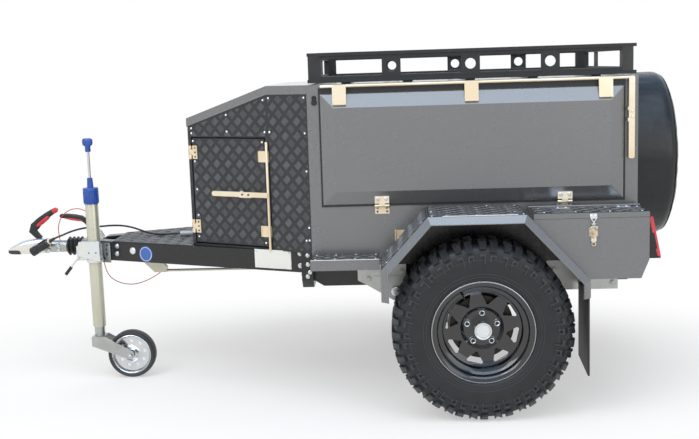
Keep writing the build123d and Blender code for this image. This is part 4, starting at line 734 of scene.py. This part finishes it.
for (x, z), side in product(((204, 622), (204, 598), (252, 622), (252, 600)), (-1, 1)):
    seat = at((NOSE_X + x, side * 26, z), (1, 0, 0), (0, side, 0))
    bolts.lathe([(10.5, -1), (10.5, 1.4), (9, 2)], seat, 24)
    bolts.prism(circle(8.2, 6), seat, 1.5, 8, 1)
bolts.make("coupling_bolts", STEEL)


# Coupling handle and handbrake lever, with red and black grips

def lever(name, mat, x0, y, thick, path, **options):
    """A flat-sided lever along (x from x0, z, width) points, across y by thick."""
    spots = [Vector((x0 + x, z)) for x, z, width in path]
    rings = []
    for i, spot in enumerate(spots):
        along = (spots[min(i + 1, len(spots) - 1)] - spots[max(i - 1, 0)]).normalized()
        across = Vector((-along.y, along.x))
        ring = [(spot + across * a, b) for a, b in rounded(path[i][2] / 2, thick / 2, 0.65, 16)]
        rings.append([Vector((place.x, y + b, place.y)) for place, b in ring])
    heap = Heap()
    heap.skin(rings)
    heap.make(name, mat, angle=45, **options)


lever("coupling_handle", BLACK, NOSE_X, 0, 22,
      ((160, 653, 24), (141, 671, 31), (124, 690, 41), (133, 711, 44), (162, 739, 36), (194, 763, 30),
       (224, 781, 27), (236, 787, 22)), slot="lever_plastic", replaces=("drawbar_levers",))
lever("coupling_grip", RED, NOSE_X, 0, 24.5,
      ((148, 715, 10), (154, 720, 20), (176, 737, 23), (202, 757, 20), (208, 761, 10)))
lever("coupling_grip_tip", RED, NOSE_X, 0, 24,
      ((228, 783, 20), (232, 785, 27), (244, 791, 25), (250, 793, 12)))
lever("brake_lever_arm", GALVANISED, HOUSING_X, 18, 8,
      ((74, 650, 32), (62, 672, 30), (42, 696, 26), (16, 716, 20)))
lever("brake_grip", BLACK, HOUSING_X, 18, 21,
      ((18, 714, 16), (8, 732, 25), (-10, 744, 28), (-45, 752, 27), (-86, 757, 24), (-110, 758, 20),
       (-115, 758, 13)), slot="lever_plastic")
lever("brake_grip_insert", RED, HOUSING_X, 18, 22.5,
      ((-6, 732, 7), (-24, 737, 13), (-60, 742, 12), (-92, 748, 5)))
sector = Heap()
sector_seat = at((HOUSING_X + 62, 18, 648), (1, 0, 0), (0, -1, 0))
for low in (-8, 5):
    sector.prism([(-26, 0), (30, 0), (34, 8), (20, 34), (4, 44), (-14, 42), (-26, 26), (-30, 8)],
                 sector_seat, low, low + 3, 0.5)
sector.lathe([(0, -12), (7, -12), (7, 12), (0, 12)], shift(sector_seat, 4, 22), 20)
sector.make("brake_lever_bracket", PALE_ZINC, angle=40)


# Jockey stand: crank, cap and wheel

crank, knob, ring, pan, holes, hub_bolt, saddle, dark = heaps(8)
crank_seat = at((JOCKEY_X, JOCKEY_Y, 834), (1, 0, 0), (0, 0, 1))
crank.lathe([(30.2, 0.3), (33, 0.3), (33.8, 3), (34.8, 60), (35.7, 62), (35.7, 72), (34, 75), (20, 75.5),
             (15.2, 77), (14.6, 84), (12.6, 118), (11.8, 122), (7, 123)], crank_seat, 48)
for rib in spokes(crank_seat, 20):
    crank.prism([(34, -1.6), (35.6, -1.2), (35.6, 1.2), (34, 1.6)], rib, 6, 60, 0.8)
crank.make("jockey_cap", BLUE, "jockey_slide", slot="blue_plastic", replaces=("jockey_crank",), angle=40)
lathed("jockey_rod", STEEL, [(0, 118), (6.5, 118), (6.5, 252), (0, 252)], crank_seat, 24, "jockey_slide",
       angle=40)
knob.lathe([(6.6, 243), (11.8, 243), (13, 246), (13, 268), (14, 272), (9, 274)], crank_seat, 32)
knob.skin([[crank_seat @ Vector((x, y, z)) for x, y in rounded(half, deep, 0.8, 32)]
           for z, half, deep in ((269, 12, 11), (272, 19, 13), (277, 23, 14.5), (286, 24, 15), (296, 24, 15),
                                 (302, 22, 13.5), (305.5, 16, 9))])
knob.make("jockey_knob", BLUE, "jockey_slide", slot="blue_plastic", angle=50)

hub = (JOCKEY_X + 150, JOCKEY_Y, 113)
hub_seat = at(hub, (1, 0, 0), (0, -1, 0))
ring.lathe([(92, -22), (96, -28), (104, -30.5), (109, -27), (112, -18), (113, 0), (112, 18), (109, 27),
            (104, 30.5), (96, 28), (92, 22)], hub_seat, 72)
ring.lathe([(92, 22), (90, 10), (90, -10), (92, -22)], hub_seat, 72)
ring.make("jockey_tread", GREY_RUBBER, "jockey_wheel", slot="rubber", replaces=("jockey_wheel",), angle=40)
PAN = [(92.5, 24), (93.5, 27), (91, 28.5), (88.5, 26), (87, 14), (82, 8), (70, 6), (46, 6), (36, 10),
       (28, 21), (24, 25), (12, 25.5), (10, 30), (8.2, 30), (8.2, 20), (22, 20), (26, 16), (33, 5),
       (44, 1), (70, 1), (84, 2), (90, 8), (90, 20)]
for sign in (1, -1):
    pan.lathe([(r, sign * height) for r, height in PAN], hub_seat, 72, close=True)
for spoke in spokes(hub_seat, 9, 0.2):
    holes.lathe([(0, -40), (9.5, -40), (9.5, 40), (0, 40)], shift(spoke, 60, 0), 20)
cut(pan.make("jockey_pan", STEEL, "jockey_wheel", slot="galvanised"), holes, "jockey_wheel", 35)
for side in (-1, 1):
    seat = at((hub[0], hub[1] + side * 42, hub[2]), (1, 0, 0), (0, side, 0))
    hub_bolt.lathe([(12.5, 0), (12.5, 1.6), (11, 2)], seat, 24)
    hub_bolt.prism(circle(9.5, 6), seat, 1.8, 9.5, 1)
    hub_bolt.lathe([(6, 9), (5.8, 14), (4.5, 15), (0, 15)], seat, 20)
hub_bolt.make("jockey_axle_nuts", STEEL, "jockey_swivel")

root = Vector((JOCKEY_X - 52, JOCKEY_Y - 8, 612))
tip = Vector((JOCKEY_X - 144, JOCKEY_Y - 8, 500))
reach = (tip - root).length
lathed("tommy_bar_grip", BLACK, [(4.2, reach * 0.66), (7.2, reach * 0.665), (7.9, reach * 0.69),
                                 (7.7, reach * 0.8), (7.9, reach * 0.96), (6.6, reach + 0.2),
                                 (0, reach + 0.4)], at(root, (0, 1, 0), tip - root), 24, angle=40)
saddle_seat = at((0, -185.3, 0), (1, 0, 0), (0, -1, 0))
saddle.prism([(-1156, 592), (-1068, 566), (-1062, 572), (-1062, 656), (-1068, 662), (-1156, 662),
              (-1162, 656), (-1162, 598)], saddle_seat, 0, 5, 1.5)
saddle.prism(box(-1162, -1157, 600, 655), saddle_seat, -48, 1, 1)
saddle.make("clamp_plate", PALE_ZINC)
for x in (-1113, -1080):
    dark.lathe([(3.4, 4), (3.4, 5.4), (2.4, 5.8), (0, 5.8)], shift(saddle_seat, x, 608), 16)
dark.make("clamp_plate_pins", BLACK, angle=40)


# Tread plate: groups of five raised bars, turned each way in turn, on thin plates where the sheet is folded

BAR_PITCH, BAR_LENGTH, BAR_WIDTH, GROUP_PITCH = 6.2, 28.0, 2.9, 31.0
SHORTEST_BAR = 8


def bar(heap, seat, middle, along, length, base):
    """One raised bar with sloping sides on a plane."""
    across = Vector((-along.y, along.x))
    half, w = length / 2, BAR_WIDTH / 2
    outline = [(-half, 0), (w - half, w), (half - w, w), (half, 0), (half - w, -w), (w - half, -w)]
    rings = []
    for height, shrink, narrow in ((-0.2, 0.0, 1.0), (1.5, 1.3, 0.3)):
        spots = [middle + along * (x - math.copysign(shrink, x)) + across * y * narrow for x, y in outline]
        rings.append([seat @ Vector((*spot, base + height)) for spot in spots])
    heap.skin(rings, low=False)


def tread(heap, seat, outline, holes=(), base=0.0, margin=4.0):
    """Cover a flat outline, counter-clockwise, with bars clear of its edges and of holes (u0, u1, v0, v1)."""
    def inside(spot):
        for (u0, v0), (u1, v1) in zip(outline, outline[1:] + outline[:1]):
            if (u1 - u0) * (spot.y - v0) - (v1 - v0) * (spot.x - u0) < margin * math.hypot(u1 - u0, v1 - v0):
                return False
        return not any(a - margin < spot.x < b + margin and c - margin < spot.y < d + margin
                       for a, b, c, d in holes)

    spans = []
    for axis in (0, 1):
        steps = [p[axis] / GROUP_PITCH for p in outline]
        spans.append(range(math.floor(min(steps)) - 1, math.ceil(max(steps)) + 2))
    for i, j in product(*spans):
        if (i + j) % 2:
            continue
        turn = math.radians(45 if i % 2 == 0 else -45)
        along = Vector((math.cos(turn), math.sin(turn)))
        across = Vector((-along.y, along.x))
        for k in range(-2, 3):
            centre = Vector((i * GROUP_PITCH, j * GROUP_PITCH)) + across * k * BAR_PITCH
            steps = [t for t in range(-13, 14, 2) if inside(centre + along * t)]
            if len(steps) * 2 >= SHORTEST_BAR:
                bar(heap, seat, centre + along * (steps[0] + steps[-1]) / 2, along,
                    min(BAR_LENGTH, steps[-1] - steps[0] + 2), base)


def rivet(heap, seat, radius=5.0, height=2.0):
    """Low domed head."""
    heap.lathe([(radius, -0.2), (radius, 0.3), (radius * 0.88, height * 0.6), (radius * 0.5, height * 0.93),
                (0, height)], seat, 14)


def bolt(heap, seat, radius=9.0, height=7.0, washer=12.0):
    """Hexagon head on a washer."""
    heap.lathe([(washer, -0.2), (washer, 1.6), (washer - 1, 2.2), (0, 2.2)], seat, 24)
    heap.prism(circle(radius, 6, 0.2), seat, 2, 2 + height, 1.2)


def screw(heap, seat, radius=4.6):
    """Pan head with a recess."""
    heap.lathe([(radius, -0.2), (radius, 0.6), (radius * 0.8, 1.9), (radius * 0.42, 2.3),
                (radius * 0.34, 1.0), (0, 0.8)], seat, 16)


def pin(heap, seat, radius):
    """Head of a pin."""
    heap.lathe([(radius, 0), (radius, 2.6), (3, 3.2), (0, 3.2)], seat, 18)


def spread(form, heap, seat, places, height=0.0, *sizes):
    """The same small form at each place on a plane."""
    for x, y in places:
        form(heap, shift(seat, x, y, height), *sizes)


NOSE_ANGLE = math.atan2(200, 385)
NOSE_REAR_ANGLE = math.atan2(107, 182)


def nose_seat(side, rear=False):
    """Plane of the nose box's side: U along it from its front or crease, V up, Z outwards."""
    angle = NOSE_REAR_ANGLE if rear else NOSE_ANGLE
    origin = (CREASE_X, -470, 0) if rear else (NOSE_BOX_X, -270, 0)
    return flip(swung(origin, angle), side)


SIDE_A = ((21, 1179), (21, 1157), (217, 1238), (217, 1165), (415, 1300), (418, 1163))
SIDE_B = ((10, 1308), (10, 1163), (195, 1308), (195, 1160), (197, 1000), (200, 760), (200, 706), (184, 704))
DOOR = ((27, 1122), (402, 1120), (33, 1031), (38, 905), (38, 788), (36, 690), (402, 680))
ARCH = ((464, -600), (464, -735), (464, -860), (585, -600), (700, -600), (815, -600), (640, -860),
        (797, -790), (822, -860), (520, -860))
LID = ((914, -778), (1038, -778), (1173, -778), (1299, -778), (905, -656), (1178, -656), (1306, -656))
bars, plates, rivets = heaps(3)
front_seat = at((NOSE_BOX_X, 0, 0), (0, -1, 0), (-1, 0, 0))
tread(bars, front_seat, box(-268, 268, 655, 1184))
tread(bars, top_seat(DECK_TOP, -1), [(-1011, -131), (-605, -306), (-605, 306), (-1011, 131)])
spread(rivet, rivets, front_seat, product((-252, 252), (672, 790, 920, 1050, 1166)))
for label, side in SIDES.items():
    first, second = nose_seat(side), nose_seat(side, rear=True)
    door_bars, door_rivets, lid_bars, lid_rivets, lid_plate, leaf, leaf_screws = heaps(7)
    tread(bars, first, [(2, 656), (433, 656), (433, 1318), (2, 1187)], [(16, 420, 0, 1141)])
    tread(bars, second, box(1, 210, 656, 1320))
    spread(rivet, rivets, first, SIDE_A)
    spread(rivet, rivets, second, SIDE_B)
    tread(door_bars, first, box(22, 414, 664, 1135), [(22, 52, 706, 770), (22, 52, 1040, 1104)])
    spread(rivet, door_rivets, first, DOOR)
    door_bars.make(f"nose_door_bars_{label}", TREAD_BAR_HIGHLIGHT, f"nose_door_{label}", angle=0)
    door_rivets.make(f"nose_door_rivets_{label}", RIVET, f"nose_door_{label}", angle=60)

    step, top, lid = (top_seat(z, side) for z in (STEP_TOP, FENDER_TOP, LID_TOP))
    slope = flip(at((256.85, 0, 628), (190, 0, 209), (-209, 0, 190)), side)
    for seat, plate, raised, thick in ((step, (-35, 248, -698.5, -586), (-34, 247, -697, -587), 2.0),
                                       (top, (449, 833, -871, -586), (450, 832, -870, -588), 2.2),
                                       (slope, (4, 280, -871, -586), (5, 279, -870, -588), 2.2)):
        plates.prism(box(*plate), seat, 0, thick, 0.6)
        tread(bars, seat, box(*raised), base=thick)
    spread(rivet, rivets, step, product((-16, 66, 150, 234), (-598, -687)), 2.0, 4.5)
    spread(rivet, rivets, top, ARCH, 2.2, 4.5)
    spread(rivet, rivets, slope, product((40, 110, 180, 250), (-600, -860)), 2.2, 4.5)
    plates.prism(box(872, 1323, -620, -607.5), lid, 0, 1.2, 0.4)
    lid_plate.prism(box(872, 1323, -798, -645), lid, 0, 1.8, 0.6)
    tread(lid_bars, lid, box(872, 1322, -797, -646), base=1.8)
    spread(rivet, lid_rivets, lid, LID, 1.8, 4.5)
    for low in (974, 1219):
        leaf.prism(box(low, low + 56, -672, -627), lid, 1.6, 3.6, 0.6)
        spread(screw, leaf_screws, lid, ((low + 12, -655), (low + 44, -655)), 3.6, 4.2)
    body = f"box_lid_{label}"
    lid_bars.make(f"box_lid_bars_{label}", TREAD_BAR_HIGHLIGHT, body, angle=0)
    lid_rivets.make(f"box_lid_rivets_{label}", RIVET, body, angle=60)
    lid_plate.make(f"box_lid_plate_{label}", TREAD, body)
    leaf.make(f"box_lid_hinge_{label}", STEEL, body)
    leaf_screws.make(f"box_lid_screws_{label}", STEEL, body, angle=50)
bars.make("tread_bars", TREAD_BAR_HIGHLIGHT, angle=0)
plates.make("tread_plates", TREAD)
rivets.make("rivets", RIVET, angle=60)


# Small fittings of the side doors, the box latches and the nose doors

LATCH_X = 1103.85
for label, side in SIDES.items():
    door, nose_door = f"side_door_{label}", f"nose_door_{label}"
    shadow_strips, corners, lock, screws, lips, door_bolts = heaps(6)
    wall = wall_seat(WALL_Y, side)
    # Dark rubber strips in the gaps round the door: painted shadow where the rod and the door's rim shade the
    # wall.
    for x0, x1, z0, z1 in ((13, 1272, 1321.5, 1345), (13, 18.5, 853, 1321), (1266.5, 1272, 853, 1321),
                           (13, 1272, 849, 855.5)):
        shadow_strips.prism(box(x0, x1, z0, z1), wall, 0, 4.5, 1.2)
    for x0, x1 in ((-34.5, 12), (1278, 1323)):
        corners.prism(box(x0, x1, 1327, 1359), wall, 0, 1.6, 0.5)
    for z, radius in ((1305, 10.5), (1287, 12.5)):
        lock.lathe([(radius, -0.2), (radius, 5), (radius - 1.5, 7), (radius - 5, 7.2), (radius - 6, 5.5),
                    (0, 5.5)], shift(wall, -5, z), 28)
    lock.prism(box(-9, -1, 1288, 1306), wall, 0, 5, 1)
    for x, heights in ((265.85, (825, 840)), (1022.85, (839,))):
        spread(screw, screws, wall, product((x - 20, x + 20), heights), 3.0, 4.4)
        spread(bolt, door_bolts, wall_seat(611.2, side), ((x - 17, 880), (x + 17, 880)), 0.0,
               6.5, 4.5, 8.5)
    for x in (100.85, 644.35, 1188.85):
        lips.prism(box(x - 28, x + 28, 1275.8, 1279.5), wall_seat(616, side), 3.4, 7.2, 0.8)
    bar_seat = wall_seat(610, side)
    spread(pin, door_bolts, bar_seat, ((1294, 1192), (1294, 1214)), 0.0, 4.5)
    for z in (1180, 1226):
        lips.prism(box(1277, 1283, z - 7, z + 7), bar_seat, -4, 2, 1)
    lips.prism(box(1283.5, 1304, 1328, 1333), bar_seat, 0, 2.4, 0.8)
    shadow_strips.make(f"door_shadow_strip_{label}", RUBBER)
    corners.make(f"corner_plates_{label}", PAINT)
    lock.make(f"post_lock_{label}", BLACK, angle=35)
    screws.make(f"hinge_screws_{label}", CHASSIS, angle=50)
    lips.make(f"lock_lips_{label}", ZINC, door)
    door_bolts.make(f"lock_bolts_{label}", STEEL, door)

    links, catch, screws, lips = heaps(4)
    face = wall_seat(800, side)
    spread(rivet, links, face, ((1094.5, 741), (1113.2, 741)), 2.5, 3.6, 1.8)
    spread(rivet, catch, face, ((1094.5, 818), (1113.2, 818)), 2.5, 3.8, 1.8)
    for sign in (-1, 1):
        low, high = LATCH_X - sign * 13, LATCH_X + sign * 9
        links.prism([(low - 3, 768), (low + 3, 768), (high + 3, 787), (high - 3, 787)], face, 4.5, 8.2, 1.0)
        rivet(links, shift(face, LATCH_X - sign * 11, 771, 8), 4, 2)
    links.make(f"latch_links_{label}", STEEL, angle=35)
    catch.make(f"catch_rivets_{label}", RIVET, f"box_lid_{label}", angle=60)

    nose = nose_seat(side)
    for mid in (738, 1072):
        lips.prism(box(24.5, 50, mid - 30, mid + 30), nose, 0.2, 3.4, 0.8)
        spread(screw, screws, nose, product((39,), (mid - 20, mid, mid + 20)), 3.4, 4.2)
    spread(pin, screws, nose, ((300, 892), (333, 892)), 20, 4.4)
    lips.prism(box(284, 346, 878.5, 881.5), nose, 12, 22, 1)
    lips.prism(box(290, 302, 903, 908), nose, 12, 20, 1)
    for v in (732, 1058):
        lips.prism(box(384.3, 388.5, v - 23.7, v + 23.7), nose, 5.3, 7.6, 0.8)
    screws.make(f"nose_lock_screws_{label}", CHASSIS, nose_door, angle=50)
    lips.make(f"nose_lock_lips_{label}", ZINC, nose_door)


# Chassis: slots and bolts, tan plates behind the fenders, spring plates, blank sign and plate

BEAM_ANGLE = math.atan2(432, 1003)


def beam_seat(x, z, side=-1):
    """A place on the drawbar beam's outer face: X along it, Y up."""
    y = -(100 + 432 / 1003 * (x - BEAM_X))
    return flip(swung((x, y, z), BEAM_ANGLE), side)


HANGER = ((341, 566), (278, 559), (201, 537), (980, 560), (1080, 560), (1190, 560), (1225, 500), (1000, 498))
tan, steel, galv, chassis_bits, slots, white = heaps(6)
for label, side in SIDES.items():
    for x, z, long, tall in ((-1042, 632, 5, 3.5), (-1046, 612, 4, 4), (-1044, 590, 4, 7),
                             (-1060, 568, 6, 4)):
        slots.prism(box(-long, long, -tall, tall), shift(beam_seat(x, z, side), 0, 0, 6), -0.2, 0.9, 0.3)
    wall = wall_seat(WALL_Y, side)
    tan.prism([(322, 689), (366, 689), (378, 700), (378, 744), (322, 744)], wall, 0, 3.0, 0.8)
    tan.prism(box(316, 321, 686, 747), wall, 0, 12.0, 0.8)
    for x, z, *sizes in ((-992, 630, 8.5, 6.5, 12), (-994, 594, 8.5, 6.5, 12), (-94, 643, 7.5, 5, 10.5),
                         (-94, 590, 7.5, 5, 10.5)):
        bolt(steel, beam_seat(x, z, side), *sizes)
    spread(bolt, steel, wall_seat(560, side), ((-58, 640), (-58, 600), (-50, 566), (-60, 548)), 0.0,
           6.5, 5, 9)
    spread(bolt, steel, flip(at((-86.15, 0, 0), (0, -1, 0), (-1, 0, 0)), side), ((430, 545), (500, 545)), 0.0,
           6.5, 5, 9)
    hanger = wall_seat(578, side)
    spread(bolt, galv, hanger, HANGER, 0.0, 8, 6, 12)
    steel.lathe([(20, -0.2), (20, 3.5), (17, 4), (0, 4)], shift(hanger, 314.85, 481, 10), 28)
    bolt(steel, shift(hanger, 314.85, 481, 13.6), 11.5, 8, 16)
    galv.prism(box(200, 338, 545, 547.5), hanger, 0, 3, 0.8)
    for x in (AXLE_X - 42, AXLE_X + 42):
        for y in (508, 574):
            steel.tube([Vector((x, side * y, 322)), Vector((x, side * y, 450))], 6, 14)
            bolt(steel, at((x, side * y, 326), (1, 0, 0), (0, 0, -1)), 9, 9, 12)
        steel.tube([Vector((x, side * (508 + 66 * k / 8), 450 + 9 * math.sin(math.pi * k / 8)))
                    for k in range(9)], 6, 14)
    under = at((AXLE_X, side * 541, 0), (1, 0, 0), (0, 0, 1))
    chassis_bits.prism(box(-56, 56, -46, 46), under, 326, 335.5, 1.5)
    chassis_bits.prism(box(-50, 50, -36, 36), under, 437, 446, 1.5)

tan.make("body_tan_plates", ZINC)
slots.make("cheek_slots", BLACK)
galv.make("hanger_bolts", GALVANISED)
chassis_bits.make("spring_plates", CHASSIS)

sign_seat = beam_seat(-840, 600)
lathed("blank_sign", SIGN_BLUE, [(37, -0.2), (37, 1.2), (36, 1.8), (0, 1.8)], sign_seat, 48, angle=40)
lathed("blank_sign_ring", PLATE_WHITE, [(33, 1.6), (33, 2.3), (30.5, 2.3), (30.5, 1.6)], sign_seat, 48,
       angle=40)
lathed("beam_round_bolt", PALE_ZINC, [(17, -0.2), (17, 3), (15, 6), (10, 8), (0, 8.6)], beam_seat(-908, 612),
       32, angle=40)
plate_seat = beam_seat(-217, 612)
white.prism(box(-91, 91, -41, 41), plate_seat, 0.0, 2.2, 0.7)
spread(rivet, steel, plate_seat, ((-82, 32), (82, 32)), 2.0, 3.5, 1.4)
white.make("blank_plate", PLATE_WHITE)
steel.make("chassis_bolts", STEEL)


# Fenders: a black sheet on the wall inside the arch as painted shadow, and pale strips on the folds above the
# wheel and on the steps as painted highlight

arch_shade_sheet, trim_and_highlight, lips = heaps(3)
for side in SIDES.values():
    # A black sheet on the wall inside the wheel arch: painted shadow between the tyre and the fender.
    arch_shade_sheet.prism([(258.5, 599), (258.5, 629), (448, 834), (833, 834), (1053, 599)],
                 wall_seat(WALL_Y, side), 0, 2, 0.5)
    # Pale metal strips on the fender's outer fold and on the step's front edge: painted highlight.
    trim_and_highlight.prism(box(505, 800, -873.5, -865), top_seat(FENDER_TOP, side), 0.5, 3.4, 0.8)
    trim_and_highlight.prism(box(-34, 248, -701.2, -698.8), top_seat(STEP_TOP, side), -1.2, 1.4, 0.4)
    for low, high in ((1366.5, 1381), (1476, 1489.5)):
        lips.prism(box(-30, 1319, low, high), wall_seat(570, side), -1, 6, 2)
lips.make("rack_lips", RACK)
arch_shade_sheet.make("fender_arch_shade", CHASSIS)
trim_and_highlight.make("fold_highlight_strip", RIVET)


# Floor, light and background: the floor turns plain white away from the trailer and keeps its shadow near it

floor_mesh = bpy.data.meshes.new("floor")
floor_mesh.from_pydata([(x, y, 0) for x, y in box(-60, 60, -60, 60)], [], [(0, 1, 2, 3)])
floor = link("floor", floor_mesh)
floor.data.materials.append(FLOOR)
floor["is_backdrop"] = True


def seen_rays(tree):
    """1 for what the camera, a mirror or glass sees, 0 for light that falls on a surface."""
    path = tree.nodes.new("ShaderNodeLightPath")
    total = path.outputs["Is Camera Ray"]
    for kind in ("Is Glossy Ray", "Is Transmission Ray"):
        total = add_node(tree, "ShaderNodeMath", 0, {0: total, 1: path.outputs[kind]}, operation="MAXIMUM")
    return total


def whiten_floor(tree, near, far, least):
    """Blend the floor to plain white between two distances from the trailer, in m, from a least share."""
    place = add_node(tree, "ShaderNodeTexCoord", "Object", {})
    squeezed = add_node(tree, "ShaderNodeVectorMath", "Vector", {0: place, 1: (0.62, 1.0, 1.0)},
                        operation="MULTIPLY")
    length = add_node(tree, "ShaderNodeVectorMath", "Value", {0: squeezed}, operation="LENGTH")
    away = add_node(tree, "ShaderNodeMapRange", "Result", {
        "From Min": near, "From Max": far, "To Min": least, "Value": length}, interpolation_type="SMOOTHSTEP")
    both = add_node(tree, "ShaderNodeMath", 0, {0: away, 1: seen_rays(tree)}, operation="MULTIPLY")
    white = add_node(tree, "ShaderNodeEmission", "Emission", {})
    shader = tree.nodes["Principled BSDF"].outputs["BSDF"]
    either = add_node(tree, "ShaderNodeMixShader", "Shader", {"Fac": both, 1: shader, 2: white})
    feed(tree, tree.nodes["Material Output"].inputs["Surface"], either)


whiten_floor(FLOOR.node_tree, 0.8, 1.7, 0.45)

# The world lights the trailer evenly, and what is seen of it goes from white to a pale blue overhead
world = bpy.data.worlds.new("studio")
bpy.context.scene.world = world
world.use_nodes = True
tree = world.node_tree
background = tree.nodes["Background"]
background.inputs["Color"].default_value = (1, 1, 1, 1)
background.inputs["Strength"].default_value = 0.55
direction = add_node(tree, "ShaderNodeTexCoord", "Generated", {})
height = add_node(tree, "ShaderNodeSeparateXYZ", "Z", {"Vector": direction})
ramp = add_node(tree, "ShaderNodeValToRGB", "Color", {"Fac": height})
horizon, zenith = ramp.node.color_ramp.elements
horizon.position, zenith.position = 0.3, 0.75
horizon.color, zenith.color = (1, 1, 1, 1), (0.45, 0.66, 1.0, 1)
sky = add_node(tree, "ShaderNodeBackground", "Background", {"Color": ramp, "Strength": 1.0})
either = add_node(tree, "ShaderNodeMixShader", "Shader", {
    "Fac": seen_rays(tree), 1: background.outputs["Background"], 2: sky})
feed(tree, tree.nodes["World Output"].inputs["Surface"], either)

for name, place, aim, size, power, colour in (
        ("key", (-2.6, -3.4, 4.0), (0.1, 0, 0.6), 2.6, 80, (1.0, 0.98, 0.95)),
        ("overhead", (0.3, -2.2, 5.0), (0.2, 0, 0.7), 4.6, 150, (0.80, 0.90, 1.0)),
        ("fill", (3.2, -3.6, 2.4), (0.4, 0, 0.6), 2.6, 25, (0.95, 0.97, 1.0)),
        ("back", (0.5, 4.2, 4.0), (0.2, 0, 0.7), 3.2, 50, (1.0, 1.0, 1.0))):
    lamp = link(name, bpy.data.lights.new(name, "AREA"))
    lamp.data.size = size
    lamp.data.energy = power
    lamp.data.color = colour
    lamp.location = place
    lamp.rotation_mode = "QUATERNION"
    lamp.rotation_quaternion = (Vector(aim) - Vector(place)).to_track_quat("-Z", "Y")
bpy.context.scene.view_settings.view_transform = "Standard"

low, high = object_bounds()
